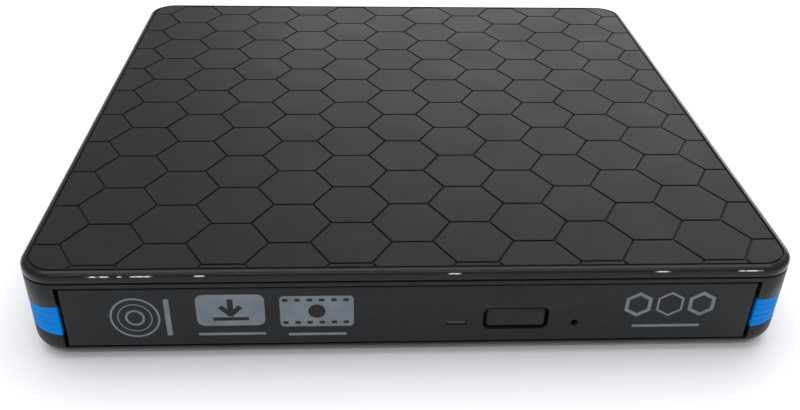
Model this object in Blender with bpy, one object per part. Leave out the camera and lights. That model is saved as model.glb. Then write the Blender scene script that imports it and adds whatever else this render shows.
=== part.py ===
"""A slim external optical drive: a two-shell case round a tray-loading disc drive.

Units are metres. X is the width, the front faces -Y and +Z is up. The origin lies on the
surface that the feet stand on, under the middle of the case. Sizes are worked outwards from
the disc: the tray holds it, the drive's shell holds the tray, and the case holds the shell.
"""

import math

import bmesh
import bpy
from mathutils import Matrix, Vector

GAP = 0.0003  # left between neighbouring pieces

# The disc and its tray
DISC_RADIUS = 0.060
DISC_CLEARANCE = 0.0006
TRAY_RIM = 0.0022
TRAY_FRONT_WALL = 0.0019
TRAY_REAR_WALL = 0.0015
TRAY_DECK = 0.0012
RECESS_DEPTH = 0.0026
SKIRT_WALL = 0.0015

# The telescopic rails and their guides
RAIL_WIDTH = 0.0022
RAIL_HEIGHT = 0.0034
RAIL_HOLD = 0.0011  # how far a rail sits inside the tray's groove
GUIDE_WEB = 0.0008
GUIDE_LIP = 0.0008
DECK_STEP = 0.0005  # from the guides' clearance up to the recess's floor
RAIL_FRONT = 0.005  # from the tray's front to the rail's end
RAIL_REAR = 0.0015

# The drive's shell
SHELL = 0.0006
SIDE_RUNNING = 0.0006
REAR_RUNNING = 0.0011
DRIVE_HEIGHT = 0.0127
TRAY_LIFT = 0.0005  # under the tray
BOARD_THICKNESS = 0.0008

# The case
SIDE_SPACE = 0.0063
REAR_SPACE = 0.0086
TOP_SPACE = 0.0021
DRIVE_LIFT = 0.0007
FOOT_STAND = 0.0006
CASE_WALL = 0.0022
CASE_FLOOR = 0.0018
CASE_TOP = 0.0021
PLAN_RADIUS = 0.0070
TOP_ROUND = 0.0011
BOTTOM_ROUND = 0.0035
BAY_RIB = 0.0010
LIP_DEPTH = 0.0010
LIP_WALL = 0.0012

# The honeycomb on the lid
HEXAGON_SIDE = 0.0078
GROOVE_WIDTH = 0.0006
GROOVE_DEPTH = 0.0003
BORDER = 0.0013
HONEYCOMB_START = 0.0028  # from the front edge to the first cells' middles

# The front opening and what shows in it
OPENING_SIDE = 0.0015  # past the drive's side
OPENING_RISE = 0.0010  # above the drive's top
BEZEL_THICKNESS = 0.0026
BEZEL_GAP = 0.0007
BEZEL_LOW_GAP = 0.0004
CONTROL_DROP = 0.0010  # from the tray's deck down to the button's middle
BUTTON_MIDDLE = 0.0192
BUTTON_WIDTH = 0.0124
BUTTON_HEIGHT = 0.0050
BUTTON_TRAVEL = 0.0008
BUTTON_CORNER = 0.0009
BUTTON_FLANGE = 0.0009  # round the cap, behind the bezel
PEG_WIDTH = 0.0030
PEG_HEIGHT = 0.0014
LAMP_MIDDLE = 0.0081
LAMP_WIDTH = 0.0040
LAMP_HEIGHT = 0.0009
LIGHT_PIPE_REACH = 0.0040  # into the tray
HOLE_MIDDLE = 0.0308
HOLE_RADIUS = 0.0007
HOLE_DROP = 0.0012  # below the button's middle
BEZEL_EDGE = 0.0003

# The coloured corner inserts
INSERT_HEIGHT = 0.0067
INSERT_END_HEIGHT = 0.0036
INSERT_THICKNESS = 0.0012
INSERT_STRAIGHT = 0.0050

# Feet and screws
FOOT_RADIUS = 0.0050
FOOT_HEIGHT = 0.0009
FOOT_INSET = 0.0140
FRONT_SCREW_INSET = 0.0200
REAR_SCREW_INSET = 0.0140
SCREW_HEAD_RADIUS = 0.0016
SCREW_HEAD_HEIGHT = 0.0011
SCREW_RADIUS = 0.0008
SCREW_LENGTH = 0.0120
BOSS_HEIGHT = 0.0066

# The bridge board and its sockets
BRIDGE_WIDTH = 0.066
BRIDGE_LIFT = 0.0017
BRIDGE_THICKNESS = 0.0010
BRIDGE_PAD_RADIUS = 0.0026
BRIDGE_SCREW_INSET = 0.0030
BRIDGE_SCREW_HEAD = 0.0008
BRIDGE_CHIP = (0.0060, 0.0010)  # width and height
BRIDGE_CHIP_MIDDLE = -0.0090
DRIVE_PAD_RADIUS = 0.0040
USB_MIDDLE = 0.0220
USB_WIDTH = 0.0090
USB_HEIGHT = 0.0032
USB_DEPTH = 0.0070
USB_SHELL = 0.0004
USB_TONGUE = 0.0007
USB_TONGUE_INSET = 0.0010  # from the socket's mouth
LINK_WIDTH = 0.0330
LINK_MIDDLE = -0.0040
LINK_HEIGHT = 0.0030
LINK_REACH = 0.0025  # into the drive's shell
LINK_TAIL = 0.0030  # behind the drive's shell
DRIVE_LINK_DEPTH = 0.0050

# The drive's own board, its ejector and its latch
MAIN_BOARD_INSET = 0.0080
MAIN_BOARD_START = 0.0267  # behind the hub's axis
MAIN_BOARD_END = 0.0030  # in front of the rear wall
CONTROLLER_SIDE = 0.0140
CONTROLLER_HEIGHT = 0.0014
CONTROLLER_PLACE = (-0.0230, 0.0)
DRIVER_WIDTH = 0.0120
DRIVER_DEPTH = 0.0100
DRIVER_HEIGHT = 0.0016
DRIVER_PLACE = (0.0200, -0.0010)
EJECTOR_INSET = 0.0035
EJECTOR_RISE = 0.0026
EJECTOR_START = 0.0182  # behind the hub's axis
PLUNGER_RADIUS = 0.0010
PLUNGER_LENGTH = 0.0160
PLUNGER_HEAD_RADIUS = 0.0020
PLUNGER_HEAD_LENGTH = 0.0025
SPRING_RADIUS = 0.0017
SPRING_LENGTH = 0.0120
SPRING_WIRE = 0.0003
SPRING_TURNS = 8
LATCH_INSET = 0.0140
LATCH_SETBACK = 0.0052
LATCH_RISE = 0.0004
LATCH_HEIGHT = 0.0022
LATCH_NOSE = 0.0064
LATCH_NOSE_SPAN = (0.0024, 0.0044)
LATCH_LEVER = ((0.0015, 0.0042), (-0.0020, 0.0015), (-0.0020, -0.0015), (0.0020, -0.0015), (0.0030, 0.0015))
LATCH_PIVOT_RADIUS = 0.0008
LATCH_PIN_RADIUS = 0.0012
SOLENOID_START = 0.0030  # from the latch's pivot
SOLENOID_LENGTH = 0.0100
SOLENOID_WIDTH = 0.0050
TRAY_BOARD_DEPTH = 0.0120
TRAY_BOARD_INSET = 0.0020
SWITCH_WIDTH = 0.0050
SWITCH_DEPTH = 0.0030
SWITCH_DROP = 0.0030
FLEX_WIDTH = 0.0135
FLEX_THICKNESS = 0.0002
FLEX_SPACE = 0.0011  # beside the traverse frame
FLEX_FOLD = 0.0061  # before the hub's axis
FLEX_TAIL = 0.0060

# The disc's mechanism, measured from the hub's axis
SLED_ANGLE = -45.0
SPINDLE_RADIUS = 0.0110
HUB_RADIUS = 0.0073
HUB_LIFT = 0.0006  # above the deck
HUB_HEIGHT = 0.0024
HUB_CHAMFER = 0.0012
HUB_DIMPLE_RADIUS = 0.0020
HUB_DIMPLE_DEPTH = 0.0008
MOTOR_STEP = 0.0008
SHAFT_STEP = 0.0035
PAD_START = 0.0006
PAD_HEIGHT = 0.0005
COVER_BOSS_RADIUS = 0.0170
COVER_BOSS_SLOPE = 0.0010
SLED_INNER = 0.0240
SLED_MARGIN = 0.0025  # from the disc's edge to the lens at the end of its travel
SLED_WIDTH = 0.0210
SLED_LENGTH = 0.0140
LENS_OFFSET = 0.0020  # from the sled's middle out to the lens
LENS_RADIUS = 0.0020
LENS_PROFILE = ((1.0, 0.0), (1.0, 0.0007), (0.8, 0.0010), (0.4, 0.0012))
HOLDER_WIDTH = 0.0120
HOLDER_SPAN = (0.0040, 0.0050)  # outwards and inwards of the lens
HOLDER_HEIGHT = 0.0008
SLED_LIFT = 0.0005
SLED_RISE = 0.0004  # into the tray's window
LUG_WALL = 0.0009
LUG_INSET = 0.0010
LUG_HALF_LENGTH = 0.0025
ROD_RADIUS = 0.0010
ROD_SPACING = 0.0280
ROD_DROP = 0.0003  # below the lead screw's axis
ROD_END_HALF_WIDTH = 0.0018
ROD_END_THICKNESS = 0.0010
ROD_END_DROP = 0.0014
SCREW_AXIS_X = 0.0180
LEAD_SCREW_RADIUS = 0.0012
LEAD_SCREW_PITCH = 0.0030
LEAD_SCREW_GROOVE = 0.00025
LEAD_SCREW_SIDES = 6
LEAD_SCREW_END = 0.0030
STEPPER_RADIUS = 0.0024
STEPPER_LENGTH = 0.0100
FRAME_HALF_WIDTH = 0.0220
FRAME_BEHIND = 0.0160
FRAME_THICKNESS = 0.0009
FRAME_CORNER = 0.0080
FRAME_LIP = 0.0012
FRAME_END_SPACE = 0.0015
WINDOW_SPACE = 0.0010  # beside the sled
HUB_OPENING_STEP = 0.0030
DAMPER_RADIUS = 0.0019
DAMPER_EDGE = 0.0005
DAMPER_LIFT = 0.0010
DAMPER_SETBACK = 0.0060
DAMPER_OUTER_SETBACK = 0.0100

# Worked out from the sizes above: across the drive
recess_radius = DISC_RADIUS + DISC_CLEARANCE
tray_half_width = recess_radius + TRAY_RIM
shell_inner = tray_half_width + SIDE_RUNNING
drive_half_width = shell_inner + SHELL
guide_outer = shell_inner - GAP
rail_outer = guide_outer - GUIDE_WEB - GAP
rail_inner = rail_outer - RAIL_WIDTH
skirt_outer = rail_inner + RAIL_HOLD
guide_inner = skirt_outer + GAP
groove_floor = rail_inner - GAP
skirt_inner = groove_floor - SKIRT_WALL
case_half_width = drive_half_width + SIDE_SPACE + CASE_WALL
opening_half_width = drive_half_width + OPENING_SIDE

# Front to back
case_depth = (BEZEL_THICKNESS + GAP + TRAY_FRONT_WALL + 2 * recess_radius + TRAY_REAR_WALL
              + REAR_RUNNING + SHELL + REAR_SPACE + CASE_WALL)
case_front = -case_depth / 2
case_rear = case_depth / 2
bezel_back = case_front + BEZEL_THICKNESS
tray_front = bezel_back + GAP
disc_y = tray_front + TRAY_FRONT_WALL + recess_radius
tray_rear = disc_y + recess_radius + TRAY_REAR_WALL
shell_front = bezel_back + GAP
shell_rear = tray_rear + REAR_RUNNING + SHELL
wall_rear = case_rear - CASE_WALL
rail_front = tray_front + RAIL_FRONT
rail_rear = tray_rear - RAIL_REAR

# From the ground up
case_low = FOOT_STAND
floor_top = case_low + CASE_FLOOR
drive_low = floor_top + DRIVE_LIFT
drive_high = drive_low + DRIVE_HEIGHT
lid_under = drive_high + TOP_SPACE
lid_top = lid_under + CASE_TOP
case_rim = lid_under - GAP
opening_low = drive_low - GAP
opening_high = drive_high + OPENING_RISE
opening_height = opening_high - opening_low
tray_low = drive_low + SHELL + TRAY_LIFT
rail_low = tray_low + GUIDE_LIP + GAP
rail_high = rail_low + RAIL_HEIGHT
guide_high = rail_high + GAP + GUIDE_LIP
flange_low = guide_high + GAP
deck_high = flange_low + DECK_STEP
deck_low = deck_high - TRAY_DECK
tray_high = deck_high + RECESS_DEPTH
cover_low = drive_high - SHELL
tray_board_high = deck_low - GAP
tray_board_low = tray_board_high - BOARD_THICKNESS
control_z = deck_low - CONTROL_DROP
lamp_z = tray_board_low - GAP / 2 - LAMP_HEIGHT / 2
hole_z = control_z - HOLE_DROP

# In the mechanism
screw_z = deck_low - GAP - STEPPER_RADIUS
rod_z = screw_z - ROD_DROP
frame_high = deck_low - GAP
frame_low = frame_high - FRAME_THICKNESS
frame_end = DISC_RADIUS - SLED_MARGIN + SLED_LENGTH / 2 - LENS_OFFSET + FRAME_END_SPACE
window_half_width = SLED_WIDTH / 2 + WINDOW_SPACE
bridge_low = floor_top + BRIDGE_LIFT
bridge_high = bridge_low + BRIDGE_THICKNESS
board_low = drive_low + SHELL + 2 * GAP
board_high = board_low + BOARD_THICKNESS
main_board_front = disc_y + MAIN_BOARD_START
drive_link_front = shell_rear - LINK_REACH - GAP - DRIVE_LINK_DEPTH

CORNER_STEPS = 8
ROUND_STEPS = 5

# Colour, roughness and metal of each material
MATERIALS = {
    "case_plastic": ((0.020, 0.021, 0.022), 0.42, 0.0),
    "lid_plastic": ((0.055, 0.058, 0.062), 0.48, 0.0),
    "bezel_plastic": ((0.024, 0.024, 0.028), 0.36, 0.0),
    "blue_plastic": ((0.0, 0.20, 0.68), 0.35, 0.0),
    "tray_plastic": ((0.030, 0.030, 0.032), 0.55, 0.0),
    "rubber": ((0.018, 0.018, 0.018), 0.85, 0.0),
    "sheet_steel": ((0.62, 0.63, 0.64), 0.34, 1.0),
    "bright_steel": ((0.70, 0.70, 0.71), 0.22, 1.0),
    "board_green": ((0.01, 0.13, 0.06), 0.45, 0.0),
    "chip_black": ((0.015, 0.015, 0.016), 0.50, 0.0),
    "lens_glass": ((0.35, 0.45, 0.60), 0.05, 0.0),
    "lamp_clear": ((0.75, 0.78, 0.75), 0.20, 0.0),
    "flex_orange": ((0.55, 0.26, 0.06), 0.40, 0.0),
    "white_plastic": ((0.75, 0.75, 0.72), 0.45, 0.0),
}


# ---------------------------------------------------------------- modelling helpers

def clear_scene():
    """Removes the objects of the scene that the script starts in."""
    for obj in list(bpy.data.objects):
        bpy.data.objects.remove(obj, do_unlink=True)


def material(name):
    """Returns the named material, made on first use."""
    found = bpy.data.materials.get(name)
    if found:
        return found
    color, roughness, metal = MATERIALS[name]
    made = bpy.data.materials.new(name)
    made.use_nodes = True
    shader = made.node_tree.nodes["Principled BSDF"]
    shader.inputs["Base Color"].default_value = (*color, 1.0)
    shader.inputs["Roughness"].default_value = roughness
    shader.inputs["Metallic"].default_value = metal
    made.diffuse_color = (*color, 1.0)
    return made


def to_object(name, mesh_tools, finish, parent=None, origin=(0, 0, 0)):
    """Turns a bmesh into a named object; its points are given from the parent's origin."""
    mesh = bpy.data.meshes.new(name)
    bmesh.ops.translate(mesh_tools, verts=mesh_tools.verts, vec=-Vector(origin))
    mesh_tools.to_mesh(mesh)
    mesh_tools.free()
    mesh.materials.append(material(finish))
    obj = bpy.data.objects.new(name, mesh)
    obj.location = origin
    obj.parent = parent
    bpy.context.scene.collection.objects.link(obj)
    mesh.shade_smooth()
    mesh.set_sharp_from_angle(angle=math.radians(30))
    return obj


def empty(name, location, turn=0.0, parent=None):
    """Adds an empty that marks a joint's axis or carries a group of pieces."""
    obj = bpy.data.objects.new(name, None)
    obj.location = location
    obj.rotation_euler[2] = math.radians(turn)
    obj.empty_display_size = 0.005
    obj.parent = parent
    bpy.context.scene.collection.objects.link(obj)
    return obj


def apply_tool(obj, tools, operation):
    """Adds a Boolean to obj with a hidden object made from the bmesh tools."""
    name = obj.name + "_" + operation.lower()
    helper = to_object(name, tools, "chip_black", obj.parent)
    helper.hide_render = True
    helper.display_type = "WIRE"
    modifier = obj.modifiers.new(operation.title(), "BOOLEAN")
    modifier.operation = operation
    modifier.object = helper


def carve(obj, tools):
    """Cuts the tools' shape out of obj."""
    apply_tool(obj, tools, "DIFFERENCE")


def weld(obj, tools):
    """Joins the tools' shape to obj."""
    apply_tool(obj, tools, "UNION")


def add_stack(tools, loops):
    """Adds a closed body through loops of points, each anticlockwise, going up its outer side."""
    rings = [[tools.verts.new(point) for point in loop] for loop in loops]
    for lower, upper in zip(rings, rings[1:]):
        for a, b, c, d in zip(lower, lower[1:] + lower[:1], upper[1:] + upper[:1], upper):
            tools.faces.new((a, b, c, d))
    tools.faces.new(reversed(rings[0]))
    tools.faces.new(rings[-1])


def add_prism(tools, outline, low, high):
    """Adds an upright solid on an outline of (x, y) points, anticlockwise from above."""
    add_stack(tools, [[(x, y, z) for x, y in outline] for z in (low, high)])


def add_box(tools, low, high):
    """Adds a box between two corners."""
    outline = [(low[0], low[1]), (high[0], low[1]), (high[0], high[1]), (low[0], high[1])]
    add_prism(tools, outline, low[2], high[2])


def circle(radius, middle=(0, 0), sides=24):
    """Returns the (x, y) points of a circle, anticlockwise."""
    turns = [2 * math.pi * (i + 0.5) / sides for i in range(sides)]
    return [(middle[0] + radius * math.cos(t), middle[1] + radius * math.sin(t)) for t in turns]


def add_column(tools, radius, middle, low, high, sides=24):
    """Adds an upright cylinder."""
    add_prism(tools, circle(radius, middle, sides), low, high)


def add_turned(tools, profile, middle=(0, 0), sides=24):
    """Adds a turned solid from (radius, z) pairs, going up its outer side."""
    add_stack(tools, [[(x, y, z) for x, y in circle(r, middle, sides)] for r, z in profile])


def add_along_y(tools, outline, start, end):
    """Adds a solid that runs along Y on an outline of (x, z) points, anticlockwise from -Y."""
    loops = [[(x, y, z) for x, z in reversed(outline)] for y in (start, end)]
    add_stack(tools, [list(reversed(loop)) for loop in reversed(loops)])


def add_rod_y(tools, radius, x, z, start, end, sides=16):
    """Adds a cylinder that runs along Y."""
    add_along_y(tools, circle(radius, (x, z), sides), start, end)


def rounded(half_width, half_depth, radius, middle=(0, 0), steps=CORNER_STEPS):
    """Returns the points of a rectangle with round corners, anticlockwise."""
    points = []
    for quarter, (side, way) in enumerate(((1, 1), (-1, 1), (-1, -1), (1, -1))):
        for i in range(steps + 1):
            angle = math.radians(90 * (quarter + i / steps))
            x = side * (half_width - radius) + radius * math.cos(angle)
            y = way * (half_depth - radius) + radius * math.sin(angle)
            points.append((middle[0] + x, middle[1] + y))
    return points


def case_loop(inset, z):
    """Returns the case's outline, drawn in by inset, at height z."""
    radius = PLAN_RADIUS - inset
    return [(x, y, z) for x, y in rounded(case_half_width - inset, case_depth / 2 - inset, radius)]


def clip(polygon, frame):
    """Returns the part of a convex polygon inside a convex frame, both anticlockwise."""
    kept = list(polygon)
    for (ax, ay), (bx, by) in zip(frame, frame[1:] + frame[:1]):
        source, kept = kept, []
        sides = [(bx - ax) * (y - ay) - (by - ay) * (x - ax) for x, y in source]
        for i, here in enumerate(source):
            last, was, now = source[i - 1], sides[i - 1], sides[i]
            if was * now < 0:
                share = was / (was - now)
                kept.append(tuple(p + share * (q - p) for p, q in zip(last, here)))
            if now >= 0:
                kept.append(here)
    return kept


def area(polygon):
    """Returns the area of a polygon of (x, y) points."""
    pairs = zip(polygon, polygon[1:] + polygon[:1])
    return 0.5 * sum(a[0] * b[1] - b[0] * a[1] for a, b in pairs)


# ---------------------------------------------------------------- the case

def screw_places():
    """Returns the four case screws' (x, y) places, between the drive and the case's wall."""
    x = (drive_half_width + GAP + BAY_RIB + case_half_width - CASE_WALL) / 2
    ys = (case_front + FRONT_SCREW_INSET, case_rear - REAR_SCREW_INSET)
    return [(side * x, y) for y in ys for side in (-1, 1)]


def foot_places():
    """Returns the four feet's (x, y) places."""
    x = case_half_width - FOOT_INSET
    y = case_depth / 2 - FOOT_INSET
    return [(-x, -y), (x, -y), (-x, y), (x, y)]


def bridge_screw_places():
    """Returns the places of the bridge board's two screws."""
    y = (shell_rear + wall_rear) / 2
    return [(side * (BRIDGE_WIDTH / 2 - BRIDGE_SCREW_INSET), y) for side in (-1, 1)]


def honeycomb_cells():
    """Returns the outlines of the lid's raised cells, cut to the plain border."""
    inset = BORDER + GROOVE_WIDTH
    frame = rounded(case_half_width - inset, case_depth / 2 - inset, PLAN_RADIUS - inset)
    cell_radius = HEXAGON_SIDE - GROOVE_WIDTH / math.sqrt(3)
    row = math.sqrt(3) * HEXAGON_SIDE
    columns = math.ceil(case_half_width / (1.5 * HEXAGON_SIDE))
    cells = []
    for column in range(-columns, columns + 1):
        start = case_front + HONEYCOMB_START + (row / 2 if column % 2 else 0)
        for step in range(-1, math.ceil(case_depth / row) + 1):
            middle = (1.5 * HEXAGON_SIDE * column, start + row * step)
            turns = [math.radians(60 * i) for i in range(6)]
            hexagon = [(middle[0] + cell_radius * math.cos(t), middle[1] + cell_radius * math.sin(t))
                       for t in turns]
            cell = clip(hexagon, frame)
            if len(cell) > 2 and area(cell) > GROOVE_WIDTH ** 2 * 6:
                cells.append(cell)
    return cells


def build_top_cover(root):
    """The lid: a plate with a rounded edge, a locating lip, four bosses and the honeycomb."""
    lip_outer = CASE_WALL + GAP
    lip_inner = lip_outer + LIP_WALL
    loops = [case_loop(lip_inner, lid_under)]
    loops.append(case_loop(lip_inner, lid_under - LIP_DEPTH))
    loops.append(case_loop(lip_outer, lid_under - LIP_DEPTH))
    loops.append(case_loop(lip_outer, lid_under))
    loops.append(case_loop(0, lid_under))
    for i in range(ROUND_STEPS + 1):
        angle = math.radians(90 * i / ROUND_STEPS)
        inset = TOP_ROUND * (1 - math.cos(angle))
        loops.append(case_loop(inset, lid_top - TOP_ROUND * (1 - math.sin(angle))))
    loops.append(case_loop(BORDER, lid_top))
    loops.append(case_loop(BORDER, lid_top - GROOVE_DEPTH))
    tools = bmesh.new()
    add_stack(tools, loops)
    cover = to_object("top_cover", tools, "lid_plastic", root)

    cells = bmesh.new()
    for cell in honeycomb_cells():
        add_prism(cells, cell, lid_top - 2 * GROOVE_DEPTH, lid_top)
    weld(cover, cells)

    bosses = bmesh.new()
    radius = (case_half_width - CASE_WALL - drive_half_width - GAP - BAY_RIB) / 2 - GAP
    for place in screw_places():
        low = floor_top + BOSS_HEIGHT + GAP
        add_column(bosses, radius, place, low, lid_under + CASE_TOP / 3, 16)
    weld(cover, bosses)

    holes = bmesh.new()
    for place in screw_places():
        high = case_low + SCREW_HEAD_HEIGHT + SCREW_LENGTH + 3 * GAP
        add_column(holes, SCREW_RADIUS + GAP, place, floor_top, high, 16)
    carve(cover, holes)


def insert_path(side, back):
    """Returns (x, y, outward x, outward y, run) from the opening's edge round a front corner."""
    start_x = case_half_width - PLAN_RADIUS
    start_y = case_front + PLAN_RADIUS
    lead = opening_half_width - start_x
    places = []
    if back or lead < 0:
        places.append((side * (opening_half_width - back), case_front, 0.0, -1.0, 0.0))
    first = math.asin(max(lead, 0.0) / PLAN_RADIUS)
    for i in range(CORNER_STEPS + 1):
        angle = first + (math.pi / 2 - first) * i / CORNER_STEPS
        across, along = math.sin(angle), math.cos(angle)
        run = max(-lead, 0.0) + PLAN_RADIUS * (angle - first)
        x = side * (start_x + PLAN_RADIUS * across)
        places.append((x, start_y - PLAN_RADIUS * along, side * across, -along, run))
    extra = GAP if back else 0
    end_y = start_y + INSERT_STRAIGHT + extra
    places.append((side * case_half_width, end_y, side * 1.0, 0.0, places[-1][4] + INSERT_STRAIGHT))
    return places


def insert_band(side, clearance=0.0, proud=0.0, back=0.0):
    """Returns a band that follows the case's front corner, as tools."""
    tools = bmesh.new()
    middle = opening_low + 0.46 * opening_height
    places = insert_path(side, back)
    loops = []
    for x, y, out_x, out_y, run in places:
        share = run / places[-1][4]
        half = (INSERT_HEIGHT + (INSERT_END_HEIGHT - INSERT_HEIGHT) * share) / 2 + clearance
        inner = INSERT_THICKNESS + clearance
        corners = [(proud, -half), (proud, half), (-inner, half), (-inner, -half)]
        if side < 0:
            corners.reverse()
        loops.append([(x + out_x * off, y + out_y * off, middle + z) for off, z in corners])
    add_stack(tools, loops)
    bmesh.ops.recalc_face_normals(tools, faces=tools.faces)
    return tools


def build_corner_inserts(root):
    """The two coloured strips let into the front corners, open to the tray's opening."""
    for name, side in (("corner_insert_left", -1), ("corner_insert_right", 1)):
        to_object(name, insert_band(side), "blue_plastic", root)


def build_bottom_case(root):
    """The tub: round below, open above, with the tray's opening and places for all it holds."""
    loops = []
    for i in range(ROUND_STEPS + 1):
        angle = math.radians(90 * i / ROUND_STEPS)
        inset = BOTTOM_ROUND * (1 - math.sin(angle))
        loops.append(case_loop(inset, case_low + BOTTOM_ROUND * (1 - math.cos(angle))))
    loops.append(case_loop(0, case_rim))
    loops.append(case_loop(CASE_WALL, case_rim))
    loops.append(case_loop(CASE_WALL, floor_top))
    tools = bmesh.new()
    add_stack(tools, loops)
    case = to_object("bottom_case", tools, "case_plastic", root)

    sink = CASE_FLOOR / 2
    ribs = bmesh.new()
    rib_inner = drive_half_width + GAP
    for side in (-1, 1):
        ends = sorted((side * rib_inner, side * (rib_inner + BAY_RIB)))
        low = (ends[0], shell_front, floor_top - sink)
        add_box(ribs, low, (ends[1], shell_rear, floor_top + DRIVE_HEIGHT / 2))
    weld(case, ribs)

    pads = bmesh.new()
    for x in (-drive_half_width / 2, drive_half_width / 2):
        for y in (case_front / 2, shell_rear / 2):
            add_column(pads, DRIVE_PAD_RADIUS, (x, y), floor_top - sink, drive_low - GAP, 16)
    for place in bridge_screw_places():
        add_column(pads, BRIDGE_PAD_RADIUS, place, floor_top - sink, bridge_low - GAP, 16)
    weld(case, pads)

    bosses = bmesh.new()
    for place in screw_places():
        reach = case_half_width - CASE_WALL - abs(place[0]) + GAP
        add_column(bosses, reach, place, floor_top - sink, floor_top + BOSS_HEIGHT, 20)
    weld(case, bosses)

    opening = bmesh.new()
    low = (-opening_half_width, case_front - CASE_WALL, opening_low)
    add_box(opening, low, (opening_half_width, case_front + 1.3 * CASE_WALL, opening_high))
    carve(case, opening)
    for side in (-1, 1):
        carve(case, insert_band(side, GAP, CASE_WALL, CASE_WALL))

    outlets = bmesh.new()
    slot = rounded(USB_WIDTH / 2 + GAP, USB_HEIGHT / 2 + GAP, USB_HEIGHT / 2 + GAP / 2)
    slot = [(USB_MIDDLE + x, bridge_high + GAP + USB_HEIGHT / 2 + z) for x, z in slot]
    add_along_y(outlets, slot, wall_rear - CASE_WALL, case_rear + CASE_WALL)
    for place in foot_places():
        add_column(outlets, FOOT_RADIUS + GAP, place, 0, FOOT_HEIGHT + GAP, 32)
    for place in screw_places():
        head_room = case_low + SCREW_HEAD_HEIGHT + 2 * GAP
        add_turned(outlets, screw_profile(GAP, 0.0, head_room, floor_top + 2 * BOSS_HEIGHT), place, 16)
    for place in bridge_screw_places():
        add_column(outlets, SCREW_RADIUS + GAP, place, floor_top - sink, bridge_high, 16)
    carve(case, outlets)


def screw_profile(clearance, low, head_high, high):
    """Returns the profile of a screw that stands on its head, or of the hole for one."""
    head = SCREW_HEAD_RADIUS + clearance
    shank = SCREW_RADIUS + clearance
    return [(head, low), (head, head_high), (shank, head_high), (shank, high)]


def build_case_screws(root):
    """Four screws that go up through the tub into the lid's bosses."""
    for number, place in enumerate(screw_places(), start=1):
        tools = bmesh.new()
        low = case_low + GAP
        head_high = low + SCREW_HEAD_HEIGHT
        drive = SCREW_HEAD_RADIUS * 0.45
        profile = [(drive, low + SCREW_HEAD_HEIGHT / 2), (drive, low)]
        profile += screw_profile(0.0, low, head_high, low + SCREW_LENGTH)
        add_turned(tools, profile, place, 12)
        to_object(f"case_screw_{number}", tools, "bright_steel", root)


def build_feet(root):
    """Four round rubber feet in pockets under the tub."""
    names = ("foot_front_left", "foot_front_right", "foot_rear_left", "foot_rear_right")
    for name, place in zip(names, foot_places()):
        tools = bmesh.new()
        edge = GAP
        profile = [(FOOT_RADIUS - edge, 0), (FOOT_RADIUS, edge), (FOOT_RADIUS, FOOT_HEIGHT)]
        add_turned(tools, profile, place, 24)
        to_object(name, tools, "rubber", root)


# ---------------------------------------------------------------- the bridge board

def build_bridge(root):
    """The board behind the drive that turns its signals into USB, with what it carries."""
    half = BRIDGE_WIDTH / 2
    tools = bmesh.new()
    add_box(tools, (-half, shell_rear + GAP, bridge_low), (half, wall_rear - GAP, bridge_high))
    board = to_object("bridge_board", tools, "board_green", root)
    holes = bmesh.new()
    for place in bridge_screw_places():
        add_column(holes, SCREW_RADIUS + GAP, place, floor_top, lid_under, 16)
    carve(board, holes)

    for name, place in zip(("bridge_screw_left", "bridge_screw_right"), bridge_screw_places()):
        tools = bmesh.new()
        low = bridge_low - BRIDGE_LIFT / 2
        seat = bridge_high + GAP
        head = SCREW_HEAD_RADIUS
        profile = [(SCREW_RADIUS, low), (SCREW_RADIUS, seat), (head, seat), (head, seat + BRIDGE_SCREW_HEAD)]
        add_turned(tools, profile, place, 12)
        to_object(name, tools, "bright_steel", root)

    tools = bmesh.new()
    on_board = bridge_high + GAP
    link_low = LINK_MIDDLE - LINK_WIDTH / 2
    link_high = LINK_MIDDLE + LINK_WIDTH / 2
    add_box(tools, (link_low, shell_rear - LINK_REACH, on_board),
            (link_high, shell_rear + LINK_TAIL, on_board + LINK_HEIGHT))
    to_object("sata_connector", tools, "chip_black", root)

    tools = bmesh.new()
    half, height = BRIDGE_CHIP[0] / 2, BRIDGE_CHIP[1]
    low = (BRIDGE_CHIP_MIDDLE - half, shell_rear + LINK_TAIL + 2 * GAP, on_board)
    add_box(tools, low, (BRIDGE_CHIP_MIDDLE + half, wall_rear - 2 * GAP, on_board + height))
    to_object("bridge_chip", tools, "chip_black", root)
    build_usb_socket(root, on_board + USB_HEIGHT / 2)


def build_usb_socket(root, middle_z):
    """The inlet at the back: a stadium-shaped metal shell, open to the rear, with its tongue."""
    outer = rounded(USB_WIDTH / 2, USB_HEIGHT / 2, USB_HEIGHT / 2 - 0.00005)
    inner = rounded(USB_WIDTH / 2 - USB_SHELL, USB_HEIGHT / 2 - USB_SHELL,
                    USB_HEIGHT / 2 - USB_SHELL - 0.00005)
    mouth = case_rear - GAP
    back = mouth - USB_DEPTH
    well = back + USB_TONGUE_INSET
    loops = []
    for points, y in ((outer, mouth), (outer, back)):
        loops.append([(USB_MIDDLE + x, y, middle_z + z) for x, z in points])
    tools = bmesh.new()
    add_stack(tools, loops)
    bmesh.ops.recalc_face_normals(tools, faces=tools.faces)
    shell = to_object("usb_socket", tools, "bright_steel", root)
    hollow = bmesh.new()
    add_along_y(hollow, [(USB_MIDDLE + x, middle_z + z) for x, z in inner], well, mouth + GAP)
    carve(shell, hollow)
    tongue = bmesh.new()
    half = (USB_WIDTH / 2 - USB_SHELL) * 0.8
    low = (USB_MIDDLE - half, (back + well) / 2, middle_z - USB_TONGUE / 2)
    add_box(tongue, low, (USB_MIDDLE + half, mouth - USB_TONGUE_INSET, middle_z + USB_TONGUE / 2))
    weld(shell, tongue)


# ---------------------------------------------------------------- the drive's shell

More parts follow.
